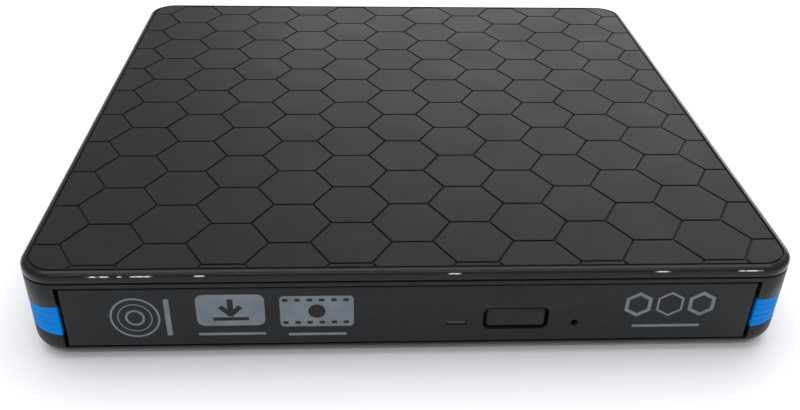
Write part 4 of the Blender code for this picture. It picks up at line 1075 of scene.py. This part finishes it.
@dataclass
class Tub:
    """The lower case: a tub with round corners, its front open for the tray."""

    corner: float = 0.0070
    bottom_round: float = 0.0035
    wall: float = 0.0022
    floor: float = 0.0018
    seat_gap: float = 0.0001
    rib: float = 0.0010

    def build(self, inserts: CornerInserts) -> Obj:
        """Models the tub.

        Args:
            inserts: the corner strips, whose seats are cut.

        Returns:
            The tub.
        """
        low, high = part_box("bottom_case")
        tub = Bench.block("tub", low, high)
        Bench.round_edges(tub, upright, self.corner, 14)
        Bench.round_edges(tub, level_at(low.z), self.bottom_round, 8)
        Bench.terrace(tub, upward(high.z), (self.wall, 0), (0, low.z + self.floor - high.z))
        self.add_inside(tub, low)
        self.cut_openings(tub, low, high)
        for side in ("right", "left"):
            seat = inserts.band("seat", self.seat_gap, self.wall, False)
            if side == "left":
                mirror = Bench.mirrored(seat, "seat_left")
                bpy.data.objects.remove(seat)
                seat = mirror
            Bench.cut(tub, seat)
        Bench.break_edges(tub, 0.00012, 2, 40)
        Bench.smooth(tub)
        return place(tub, "case", CASE_SATIN, ["bottom_case"])

    def add_inside(self, tub: Obj, low: Vector) -> None:
        """Adds the bay's ribs and the screws' bosses.

        Args:
            tub: the tub.
            low: its lowest corner.
        """
        shell_low, shell_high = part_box("drive_chassis")
        floor = low.z + self.floor
        sink = self.floor / 2
        for side in (-1, 1):
            ends = sorted((side * (shell_high.x + 0.0003),
                           side * (shell_high.x + 0.0003 + self.rib)))
            rib = Bench.block("rib", (ends[0], shell_low.y, floor - sink),
                              (ends[1], shell_high.y, floor + 0.00635))
            Bench.cut(tub, rib, way="UNION")
        for number in range(1, 5):
            a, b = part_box(f"case_screw_{number}")
            x, y = (a.x + b.x) / 2, (a.y + b.y) / 2
            boss = Bench.drum("boss", abs(tub.bound_box[0][0]) - self.wall - abs(x) + 0.0003,
                              (x, y, floor - sink), 0.0066 + sink, sides=28)
            Bench.cut(tub, boss, way="UNION")

    def cut_openings(self, tub: Obj, low: Vector, high: Vector) -> None:
        """Cuts the tray's opening, the socket's slot, the feet's pockets and the screws' holes.

        Args:
            tub: the tub.
            low: its lowest corner.
            high: its highest corner.
        """
        bezel_low, bezel_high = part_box("front_bezel")
        side, rise = 0.0007, 0.0004
        opening = Bench.block("opening", (bezel_low.x - side, low.y - 0.002, bezel_low.z - rise),
                              (bezel_high.x + side, low.y + 1.3 * self.wall, bezel_high.z + rise))
        socket_low, socket_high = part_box("usb_socket")
        gap = 0.00025
        slot = Bench.block("slot",
                           (socket_low.x - gap, high.y - 2 * self.wall, socket_low.z - gap),
                           (socket_high.x + gap, high.y + 0.002, socket_high.z + gap))
        Bench.round_edges(slot, lambda a, b: abs(a.y - b.y) > 0.001,
                          (socket_high.z - socket_low.z) / 2 + gap - 0.00002, 8)
        Bench.cut(tub, opening, slot)
        for node in ("foot_front_left", "foot_front_right", "foot_rear_left", "foot_rear_right"):
            a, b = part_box(node)
            pocket = Bench.drum("pocket", (b.x - a.x) / 2 + 0.0002,
                                ((a.x + b.x) / 2, (a.y + b.y) / 2, -0.001), b.z + 0.0012, sides=48)
            Bench.cut(tub, pocket)
        for number in range(1, 5):
            a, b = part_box(f"case_screw_{number}")
            middle = ((a.x + b.x) / 2, (a.y + b.y) / 2)
            head = Bench.drum("head", 0.0019, (*middle, -0.001), a.z + 0.0015 + 0.001, sides=32)
            shank = Bench.drum("shank", 0.0011, (*middle, -0.001), 0.020, sides=24)
            Bench.cut(tub, head, shank)


@dataclass
class FeetAndScrews:
    """The rubber feet and the screws with their crossed slots."""

    foot_edge: float = 0.0003
    foot_border: float = 0.0008
    dish_slope: float = 0.0003
    dish_depth: float = 0.00012
    head_radius: float = 0.0016
    head_height: float = 0.0011
    slot_width: float = 0.0004
    slot_depth: float = 0.0006

    def build_feet(self) -> None:
        """Models one foot, dished a little below, and copies it."""
        names = ["foot_front_left", "foot_front_right", "foot_rear_left", "foot_rear_right"]
        a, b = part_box(names[0])
        first = Bench.drum("foot", (b.x - a.x) / 2, (0, 0, 0), b.z, sides=48)
        Bench.round_edges(first, level_at(0.0), self.foot_edge, 3)
        Bench.terrace(first, downward(0.0), (self.foot_border, 0),
                      (self.dish_slope, -self.dish_depth))
        Bench.smooth(first)
        for node in names:
            a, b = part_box(node)
            piece = Bench.copy(first, "rubber_" + node, ((a.x + b.x) / 2, (a.y + b.y) / 2, 0))
            place(piece, "case", RUBBER, [node])
        bpy.data.objects.remove(first)

    def build_screws(self) -> None:
        """Models one case screw and copies it."""
        a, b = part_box("case_screw_1")
        length = b.z - a.z
        first = Bench.drum("screw", self.head_radius, (0, 0, 0), self.head_height, sides=32)
        Bench.round_edges(first, level_at(0.0), 0.0003, 3)
        Bench.terrace(first, upward(self.head_height), (self.head_radius - 0.0008, 0),
                      (0, length - self.head_height))
        for turn in (0, 90):
            slot = Bench.block("slot", (-0.0010, -self.slot_width / 2, -0.001),
                               (0.0010, self.slot_width / 2, self.slot_depth))
            slot = self.turned(slot, turn)
            Bench.cut(first, slot)
        Bench.break_edges(first, 0.00005, 1, 60)
        Bench.smooth(first)
        for number in range(1, 5):
            node = f"case_screw_{number}"
            a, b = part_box(node)
            piece = Bench.copy(first, f"steel_{node}", ((a.x + b.x) / 2, (a.y + b.y) / 2, a.z))
            place(piece, "case", BRIGHT_STEEL, [node])
        bpy.data.objects.remove(first)

    @staticmethod
    def turned(tool: Obj, degrees: float) -> Obj:
        """Turns a tool about Z.

        Args:
            tool: the tool.
            degrees: its turn.

        Returns:
            The tool.
        """
        tool.rotation_euler = Euler((0, 0, math.radians(degrees)))
        return Bench.settle(tool, tool.name)


@dataclass
class RearSocket:
    """The inlet at the back: a rolled steel shell with a gold-fingered tongue."""

    fingers: int = 12
    finger_width: float = 0.00025
    pitch: float = 0.0005

    def build(self) -> None:
        """Models the shell and the fingers on its tongue."""
        shell = Bench.refined("usb_socket", "socket_shell", 0.00006, 50)
        place(shell, "case", BRIGHT_STEEL, ["usb_socket"])
        low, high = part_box("usb_socket")
        middle = (low + high) / 2
        first = Bench.block("finger",
                            (-self.finger_width / 2, high.y - 0.0052, middle.z + 0.00034),
                            (self.finger_width / 2, high.y - 0.0014, middle.z + 0.00042))
        Bench.break_edges(first, 0.00002, 1, 60)
        start = middle.x - self.pitch * (self.fingers - 1) / 2
        made = [Bench.copy(first, f"finger_{i}",
                           (start + i * self.pitch, 0, 0)) for i in range(self.fingers)]
        bpy.data.objects.remove(first)
        row = Bench.join(made[0], made[1:])
        Bench.settle(row, "socket_fingers")
        place(row, "case", GOLD)


# ------------------------------------------------------------------ the tray's front

@dataclass
class TrayFront:
    """The bezel with its button, lamp, release hole and printed signs."""

    edge: float = 0.0003
    print_back: float = 0.00006
    button_gap: float = 0.00040
    button_corner: float = 0.0009
    button_slope: float = 0.0006
    hole_radius: float = 0.0007
    hole_x: float = 0.0308
    hole_drop: float = 0.0012  # below the button's middle
    lamp_gap: float = 0.00015
    flange: float = 0.0010
    trim: float = 0.0005  # taken off the cap's left and lower edges
    reach: float = 0.002  # how far a cutter stands out of the bezel

    def build(self) -> None:
        """Models the bezel and what it carries."""
        low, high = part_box("front_bezel")
        face = low.y + self.print_back
        bezel = Bench.block("bezel", (low.x, face, low.z), high)
        Bench.round_edges(bezel, lambda a, b: abs(a.y - face) < NEAR and abs(b.y - face) < NEAR,
                          self.edge, 4)
        self.cut_holes(bezel, low, high)
        Bench.break_edges(bezel, 0.0001, 2, 50)
        Bench.smooth(bezel)
        place(bezel, "tray", BEZEL_SATIN, ["front_bezel"])
        self.build_button(low)
        self.build_lamp()
        SignPrinter(face).build()

    def cut_holes(self, bezel: Obj, low: Vector, high: Vector) -> None:
        """Cuts the openings for the button, the lamp and the release hole.

        Args:
            bezel: the bezel.
            low: its lowest corner.
            high: its highest corner.
        """
        button_low, button_high = self.button_face()
        gap, spare, reach = self.button_gap, self.lamp_gap, self.reach
        window = Bench.block("window", (button_low.x - gap, low.y - reach, button_low.z - gap),
                             (button_high.x + gap, high.y + reach, button_high.z + gap))
        Bench.round_edges(window, lambda a, b: abs(a.y - b.y) > 0.001, self.button_corner + gap, 6)
        lamp_low, lamp_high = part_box("light_pipe")
        slot = Bench.block("slot", (lamp_low.x - spare, low.y - reach, lamp_low.z - spare),
                           (lamp_high.x + spare, high.y + reach, lamp_high.z + spare))
        foot = (self.hole_x, low.y - reach, self.button_middle().z - self.hole_drop)
        hole = Bench.drum("hole", self.hole_radius, foot, 0.008, axis="Y", sides=32)
        Bench.cut(bezel, window, slot, hole)

    def button_face(self) -> tuple[Vector, Vector]:
        """Returns the corners of the button's cap, without the flange behind it."""
        low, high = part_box("eject_button")
        inset = self.flange + self.trim
        return (Vector((low.x + inset, low.y, low.z + inset)),
                Vector((high.x - self.flange, high.y, high.z - self.flange)))

    def button_middle(self) -> Vector:
        """Returns the middle of the button's cap."""
        low, high = self.button_face()
        return (low + high) / 2

    def build_button(self, bezel_low: Vector) -> None:
        """Models the button: a cap with a long chamfer, a flange and a peg.

        Args:
            bezel_low: the bezel's lowest corner.
        """
        low, high = self.button_face()
        face = bezel_low.y + self.print_back
        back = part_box("front_bezel")[1].y + 0.0003
        edge = face + self.button_slope
        cap = Bench.block("button", (low.x, edge, low.z), (high.x, back, high.z))
        Bench.round_edges(cap, lambda a, b: abs(a.y - b.y) > 0.001, self.button_corner, 6)
        Bench.terrace(cap, lambda m, n: n.y < -0.9 and abs(m.y - edge) < NEAR,
                      (self.button_slope, self.button_slope))
        all_low, all_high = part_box("eject_button")
        flange = Bench.block("flange", (all_low.x, back - 0.0001, all_low.z),
                             (all_high.x, back + 0.0006, all_high.z))
        peg = Bench.block("peg", ((low.x + high.x) / 2 - 0.0015, back + 0.0003, low.z + 0.0004),
                          ((low.x + high.x) / 2 + 0.0015, all_high.y, low.z + 0.0018))
        Bench.cut(cap, flange, peg, way="UNION")
        Bench.break_edges(cap, 0.00012, 2, 30)
        Bench.smooth(cap)
        place(cap, "button", BUTTON_SATIN, ["eject_button"])

    @staticmethod
    def build_lamp() -> None:
        """Models the lamp's clear bar with a ridged window end."""
        low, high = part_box("light_pipe")
        bar = Bench.block("lamp_bar", low, high)
        face = low.y
        Bench.terrace(bar, lambda m, n: n.y < -0.9 and abs(m.y - face) < NEAR, (0.0001, -0.00012))
        Bench.break_edges(bar, 0.00005, 2, 50)
        Bench.smooth(bar)
        place(bar, "tray", LAMP, ["light_pipe"])


@dataclass
class SignPrinter:
    """The printed signs on the bezel: a disc, a download arrow, a film strip and three cells."""

    face: float
    thickness: float = 0.00003

    def plate(self, low: tuple[float, float], high: tuple[float, float],
              corner: float = 0.0) -> Obj:
        """Adds a flat plate on the bezel.

        Args:
            low: its lowest (x, z).
            high: its highest (x, z).
            corner: the radius of its corners.

        Returns:
            The plate.
        """
        made = Bench.block("plate", (low[0], self.face - self.thickness, low[1]),
                           (high[0], self.face + 0.00005, high[1]))
        if corner:
            Bench.round_edges(made, lambda a, b: abs(a.y - b.y) > NEAR, corner, 6)
        return made

    def disc(self, x: float, z: float, radius: float, sides: int = 48, deep: bool = False) -> Obj:
        """Adds a flat disc on the bezel.

        Args:
            x: its middle.
            z: its middle's height.
            radius: its radius.
            sides: the sides of its outline.
            deep: whether it is a tool that cuts right through.

        Returns:
            The disc.
        """
        more = 0.001 if deep else 0.0
        return Bench.drum("disc", radius, (x, self.face - self.thickness - more, z),
                          self.thickness + 0.00005 + 2 * more, axis="Y", sides=sides)

    def bar(self, low: tuple[float, float], high: tuple[float, float], turn: float = 0.0) -> Obj:
        """Adds a tool that cuts a bar right through a plate.

        Args:
            low: its lowest (x, z).
            high: its highest (x, z).
            turn: its turn in the bezel's plane, in degrees.

        Returns:
            The tool.
        """
        middle = ((low[0] + high[0]) / 2, self.face, (low[1] + high[1]) / 2)
        made = Bench.block("bar", (low[0] - middle[0], -0.001, low[1] - middle[2]),
                           (high[0] - middle[0], 0.001, high[1] - middle[2]))
        made.rotation_euler = Euler((0, math.radians(turn), 0))
        made.location = middle
        return Bench.settle(made, "bar")

    def ring(self, x: float, z: float, outer: float, inner: float, sides: int = 48) -> Obj:
        """Adds a flat ring on the bezel.

        Args:
            x: its middle.
            z: its middle's height.
            outer: its outer radius.
            inner: its inner radius.
            sides: the sides of its outline.

        Returns:
            The ring.
        """
        made = self.disc(x, z, outer, sides)
        Bench.cut(made, self.disc(x, z, inner, sides, deep=True))
        return made

    def build(self) -> None:
        """Models the four signs."""
        disc = Bench.join(self.ring(-0.0517, 0.0099, 0.0046, 0.0042),
                          [self.ring(-0.0517, 0.0099, 0.0018, 0.0014),
                           self.ring(-0.0517, 0.0099, 0.0032, 0.0030),
                           self.plate((-0.0462, 0.0056), (-0.0452, 0.0142), 0.0003)])
        badge = self.plate((-0.0404, 0.0078), (-0.0278, 0.0151), 0.0014)
        tools = [self.bar((-0.03465, 0.0100), (-0.03355, 0.0140)),
                 self.bar((-0.0364, 0.01080), (-0.0336, 0.01180), 45),
                 self.bar((-0.0346, 0.01080), (-0.0318, 0.01180), -45),
                 self.bar((-0.0374, 0.0090), (-0.0308, 0.0098))]
        Bench.cut(badge, *tools)
        Bench.join(badge, [self.plate((-0.0404, 0.0055), (-0.0278, 0.0061), 0.0002)])
        film = self.plate((-0.0250, 0.0074), (-0.0113, 0.0146), 0.0008)
        holes = []
        for i in range(6):
            x = -0.0240 + i * 0.00226
            for z in (0.0080, 0.0133):
                holes.append(self.bar((x - 0.0005, z), (x + 0.0005, z + 0.0007)))
        holes.append(self.disc(-0.01815, 0.0110, 0.0016, deep=True))
        Bench.cut(film, *holes)
        Bench.join(film, [self.plate((-0.0236, 0.0052), (-0.0127, 0.0058), 0.0002)])
        cells = Bench.join(self.ring(0.0426, 0.0117, 0.0029, 0.0021, 6),
                           [self.ring(0.0487, 0.0117, 0.0029, 0.0024, 6),
                            self.ring(0.0548, 0.0117, 0.0029, 0.0021, 6),
                            self.plate((0.0421, 0.0062), (0.0553, 0.0068), 0.0002)])
        for piece, name in ((disc, "sign_disc"), (badge, "sign_arrow"), (film, "sign_film"),
                            (cells, "sign_cells")):
            Bench.settle(piece, name)
            Bench.clean(piece)
            place(piece, "tray", PRINT)


# ------------------------------------------------------------------ the tray and its mechanism

@dataclass
class Tray:
    """The disc tray: two recesses, finger notches and its grooved skirts."""

    small_radius: float = 0.0406
    small_depth: float = 0.0006
    notch_radius: float = 0.0090
    notch_spread: float = 0.0500
    notch_inset: float = 0.0110
    deck_drop: float = 0.0026  # from the tray's top to the big disc's recess

    def build(self) -> Obj:
        """Models the tray from its CAD shape, with the small disc's recess and the notches.

        Returns:
            The tray.
        """
        low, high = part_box("disc_tray")
        hub_low, hub_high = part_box("spindle_hub")
        centre = (hub_low + hub_high) / 2
        tray = Bench.refined("disc_tray", "tray_shell", 0.0)
        deck = high.z - self.deck_drop
        small = Bench.drum("small", self.small_radius,
                           (centre.x, centre.y, deck - self.small_depth),
                           0.01, sides=96)
        Bench.cut(tray, small)
        for side in (-1, 1):
            foot = (side * self.notch_spread, low.y + self.notch_inset, deck)
            notch = Bench.drum("notch", self.notch_radius, foot, 0.01)
            Bench.cut(tray, notch)
        Bench.break_edges(tray, 0.00018, 2, 40)
        Bench.smooth(tray)
        return place(tray, "tray", TRAY_PLASTIC, ["disc_tray"])


@dataclass
class Spindle:
    """The turning hub, with three chucking balls and a rubber ring, on its motor."""

    seat_radius: float = 0.0110
    hub_radius: float = 0.0073
    ball_radius: float = 0.0008
    ball_circle: float = 0.0062
    ball_lift: float = 0.0004
    window_radius: float = 0.0011
    drum_radius: float = 0.0075
    seat_drop: float = 0.0024  # from the hub's top to the disc's seat
    step_drop: float = 0.0030
    overlap: float = 0.0006

    def build(self) -> None:
        """Models the hub, its balls, the ring and the motor."""
        low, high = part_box("spindle_hub")
        centre = (low + high) / 2
        seat = high.z - self.seat_drop
        hub = Bench.drum("hub_body", self.drum_radius, (centre.x, centre.y, low.z),
                         high.z - low.z - self.step_drop, sides=64)
        step = high.z - self.step_drop
        plate = Bench.drum("plate", self.seat_radius, (centre.x, centre.y, step - self.overlap),
                           seat - step + self.overlap, sides=64)
        dome = Bench.drum("dome", self.hub_radius, (centre.x, centre.y, seat - 0.0002),
                          high.z - seat + 0.0002, sides=64)
        Bench.round_edges(dome, level_at(high.z), 0.0010, 5)
        Bench.terrace(dome, upward(high.z), (0.0036, 0), (0, -0.0009))
        Bench.cut(hub, plate, dome, way="UNION")
        for i in range(3):
            angle = math.radians(90 + 120 * i)
            spot = (centre.x + self.ball_circle * math.cos(angle),
                    centre.y + self.ball_circle * math.sin(angle), seat + self.ball_lift)
            window = Bench.drum("window", self.window_radius, spot, 0.01, sides=24)
            Bench.cut(hub, window)
        Bench.break_edges(hub, 0.00010, 2, 40)
        Bench.smooth(hub)
        place(hub, "hub", HUB_GREY, ["spindle_hub"])
        self.build_balls(centre, seat)
        ring = Bench.refined("turntable_pad", "rubber_ring", 0.00010)
        place(ring, "hub", RUBBER, ["turntable_pad"])
        motor = Bench.refined("spindle_motor", "motor_can", 0.0003)
        place(motor, "tray", PRESSED_STEEL, ["spindle_motor"])

    def build_balls(self, centre: Vector, seat: float) -> None:
        """Models the three balls that hold the disc.

        Args:
            centre: the hub's middle.
            seat: the height of the disc's seat.
        """
        balls = []
        for i in range(3):
            angle = math.radians(90 + 120 * i)
            bpy.ops.object.select_all(action="DESELECT")
            bpy.ops.mesh.primitive_uv_sphere_add(
                segments=20, ring_count=12, radius=self.ball_radius,
                location=(centre.x + self.ball_circle * math.cos(angle),
                          centre.y + self.ball_circle * math.sin(angle),
                          seat + self.ball_lift + self.ball_radius))
            ball = Bench.settle(bpy.context.object, f"ball_{i}")
            Bench.slice(ball, (0, 0, seat + 0.0003 + self.ball_radius * 0.3), (0, 0, -1))
            balls.append(ball)
        trio = Bench.join(balls[0], balls[1:])
        Bench.settle(trio, "hub_balls")
        Bench.smooth(trio, 60)
        place(trio, "hub", BRIGHT_STEEL)


@dataclass
class LaserUnit:
    """The sled with its lens, on two rods, and the screw and motor that move it."""

    def build(self) -> None:
        """Models the sled, the lens and the drive."""
        sled = Bench.refined("laser_sled", "sled_body", 0.0002, 50)
        place(sled, "sled", CHIP, ["laser_sled"])
        holder = Bench.refined("lens_holder", "lens_frame", 0.00012, 50)
        place(holder, "sled", WHITE, ["lens_holder"])
        self.build_lens()
        plate = Bench.refined("traverse_frame", "frame_plate", 0.00012, 50)
        place(plate, "tray", PRESSED_STEEL, ["traverse_frame"])
        for node, name in (("guide_rod_left", "rod_left"), ("guide_rod_right", "rod_right")):
            rod = Bench.refined(node, name, 0.00015, 50)
            place(rod, "tray", BRIGHT_STEEL, [node])
        screw = Bench.refined("lead_screw", "sled_screw", 0.0)
        Bench.smooth(screw, 70)
        place(screw, "screw", BRIGHT_STEEL, ["lead_screw"])
        motor = Bench.refined("stepper_motor", "sled_motor", 0.0003, 50)
        place(motor, "tray", PRESSED_STEEL, ["stepper_motor"])
        for number in (1, 2, 3):
            damper = Bench.refined(f"damper_{number}", f"rubber_damper_{number}", 0.0003, 50)
            place(damper, "tray", RUBBER, [f"damper_{number}"])

    @staticmethod
    def build_lens() -> None:
        """Models the lens: a shallow dome on a short drum."""
        low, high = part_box("objective_lens")
        centre = (low + high) / 2
        radius = (high.x - low.x) / 2
        lens = Bench.drum("lens", radius, (centre.x, centre.y, low.z), high.z - low.z, sides=40)
        Bench.round_edges(lens, level_at(high.z), 0.0005, 4)
        Bench.terrace(lens, upward(high.z), (0.0003, 0), (0.0002, -0.0001))
        Bench.smooth(lens, 50)
        place(lens, "sled", LENS, ["objective_lens"])


@dataclass
class FlexRibbon:
    """The flat cable that joins the drive's board to the tray."""

    fold_steps: int = 24
    lower_steps: int = 8
    upper_steps: int = 6
    upper_step: float = 0.0044
    thickness: float = 0.00016

    def build(self) -> None:
        """Models the ribbon along its fold."""
        low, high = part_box("flex_cable")
        radius = (high.z - low.z - self.thickness) / 2
        fold = low.y + radius
        bpy.ops.object.select_all(action="DESELECT")
        bpy.ops.mesh.primitive_plane_add(size=1.0)
        plane = bpy.context.object
        plane.scale = (high.x - low.x, 0.001, 1)
        start_z = low.z + self.thickness / 2
        plane.location = ((low.x + high.x) / 2, high.y - 0.0005, start_z)
        ribbon = Bench.settle(plane, "flex_ribbon")
        Bench.pick(ribbon, "EDGE", lambda a, b: a.y < high.y - 0.0009 and b.y < high.y - 0.0009)
        for _ in range(self.lower_steps):
            step = (fold - (high.y - 0.001)) / self.lower_steps
            bpy.ops.mesh.extrude_edges_move(TRANSFORM_OT_translate={"value": (0, step, 0)})
        reach = radius
        for i in range(self.fold_steps):
            before = math.pi * i / self.fold_steps
            after = math.pi * (i + 1) / self.fold_steps
            step_y = -reach * (math.sin(after) - math.sin(before))
            step_z = reach * (math.cos(before) - math.cos(after))
            bpy.ops.mesh.extrude_edges_move(TRANSFORM_OT_translate={"value": (0, step_y, step_z)})
        for _ in range(self.upper_steps):
            bpy.ops.mesh.extrude_edges_move(TRANSFORM_OT_translate={"value": (0, self.upper_step,
                                                                              0)})
        bpy.ops.object.mode_set(mode="OBJECT")
        Bench.clean(ribbon)
        Bench.apply(ribbon, "SOLIDIFY", thickness=self.thickness, offset=0.0)
        Bench.smooth(ribbon, 40)
        ribbon.data.materials.clear()
        ribbon.data.materials.append(FLEX.material())
        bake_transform(ribbon)
        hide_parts("flex_cable")
        LOG.info("flex_ribbon bends between case and tray")


@dataclass
class DriveShell:
    """The drive's pressings, boards, guides, rails and small metalwork."""

    def build(self) -> None:
        """Refines and dresses each of them."""
        steel = (("drive_chassis", "chassis_pressing", "case"),
                 ("drive_cover", "cover_pressing", "case"))
        for node, name, body in steel:
            place(Bench.refined(node, name, 0.0002, 50), body, PRESSED_STEEL, [node])
        bright = (("rail_left", "steel_rail_left", "left_rail"),
                  ("rail_right", "steel_rail_right", "right_rail"),
                  ("bridge_screw_left", "board_screw_left", "case"),
                  ("bridge_screw_right", "board_screw_right", "case"),
                  ("latch_pin", "catch_pin", "case"), ("latch_pivot", "catch_pivot", "tray"),
                  ("latch_solenoid", "catch_coil", "tray"),
                  ("eject_spring", "push_spring", "case"))
        for node, name, body in bright:
            width = 0.0 if node == "eject_spring" else 0.00015
            place(Bench.refined(node, name, width, 50), body, BRIGHT_STEEL, [node])
        white = (("rail_guide_left", "guide_left", "case"),
                 ("rail_guide_right", "guide_right", "case"),
                 ("eject_plunger", "push_rod", "case"), ("latch_lever", "catch_lever", "latch"))
        for node, name, body in white:
            place(Bench.refined(node, name, 0.00012, 50), body, WHITE, [node])
        chips = (("bridge_chip", "case"), ("controller_chip", "case"),
                 ("motor_driver_chip", "case"),
                 ("sata_connector", "case"), ("drive_connector", "case"), ("eject_switch", "tray"))
        for node, body in chips:
            place(Bench.refined(node, "resin_" + node, 0.00012, 50), body, CHIP, [node])
        for node in ("bridge_board", "main_board", "tray_board"):
            dress(node, BOARD)


# ------------------------------------------------------------------ the studio

@dataclass
class Studio:
    """The pale floor, the soft lights and the camera."""

    lens: float = 39.81
    eye: Point = (-0.01128, -0.19902, 0.11626)
    turn: Point = (57.64, 1.60, -3.58)  # pitch, roll and yaw, in degrees

    def build(self) -> None:
        """Sets up the floor, the lights, the surroundings and the camera."""
        self.lay_floor()
        self.hang_light("top_softbox", (0.0, 0.15, 0.75), (0.0, 0.0, 0.0), (1.1, 0.8), 5.0)
        self.hang_light("back_softbox", (0.45, 1.0, 0.42), (0.0, 0.0, 0.05), (1.4, 0.35), 4.6)
        self.hang_light("front_strip", (0.0, -0.38, 0.476), (0.0, -0.07, 0.02), (0.60, 0.02), 0.5)
        world = bpy.data.worlds.new("room")
        world.use_nodes = True
        world.node_tree.nodes["Background"].inputs["Color"].default_value = (0.96, 0.98, 1.0, 1.0)
        world.node_tree.nodes["Background"].inputs["Strength"].default_value = 0.68
        bpy.context.scene.world = world
        bpy.context.scene.view_settings.view_transform = "Standard"
        self.set_camera()

    @staticmethod
    def lay_floor() -> None:
        """Lays the pale floor."""
        bpy.ops.object.select_all(action="DESELECT")
        bpy.ops.mesh.primitive_plane_add(size=6.0)
        floor = bpy.context.object
        floor.name = "floor"
        finish = Finish("floor_paper", "floor", (0.86, 0.86, 0.88), (0.88, 0.88, 0.89),
                        (0.85, 0.95),
                        specular=0.1, grain_size=0.002, grain_depth=0.00002, mottle_size=0.05)
        floor.data.materials.append(finish.material())

    @staticmethod
    def hang_light(name: str, spot: Point, aim: Point, size: tuple[float, float],
                   power: float) -> None:
        """Hangs a soft light.

        Args:
            name: its name.
            spot: where it hangs.
            aim: the point that it faces.
            size: its width and height.
            power: its power in watts.
        """
        data = bpy.data.lights.new(name, "AREA")
        data.shape = "RECTANGLE"
        data.size, data.size_y = size
        data.energy = power
        light = bpy.data.objects.new(name, data)
        light.location = spot
        light.rotation_euler = (Vector(aim) - Vector(spot)).to_track_quat("-Z", "Y").to_euler()
        bpy.context.scene.collection.objects.link(light)

    def set_camera(self) -> None:
        """Stands the camera."""
        data = bpy.data.cameras.new("camera")
        data.lens = self.lens
        data.sensor_width = 36.0
        data.clip_start = 0.01
        camera = bpy.data.objects.new("camera", data)
        pitch, roll, yaw = (math.radians(angle) for angle in self.turn)
        turn = Matrix.Rotation(yaw, 3, "Z") @ Matrix.Rotation(pitch, 3,
                                                              "X") @ Matrix.Rotation(roll, 3, "Z")
        camera.rotation_euler = turn.to_euler()
        camera.location = self.eye
        bpy.context.scene.collection.objects.link(camera)
        bpy.context.scene.camera = camera


def main() -> None:
    """Builds the sub-assemblies in order, from the case inwards."""
    logging.basicConfig(level=logging.INFO, format="%(name)s: %(message)s")
    inserts = CornerInserts()
    Lid().build()
    Tub().build(inserts)
    inserts.build()
    screws = FeetAndScrews()
    screws.build_feet()
    screws.build_screws()
    RearSocket().build()
    TrayFront().build()
    Tray().build()
    Spindle().build()
    LaserUnit().build()
    DriveShell().build()
    FlexRibbon().build()
    Studio().build()


if __name__ == "__main__":
    main()
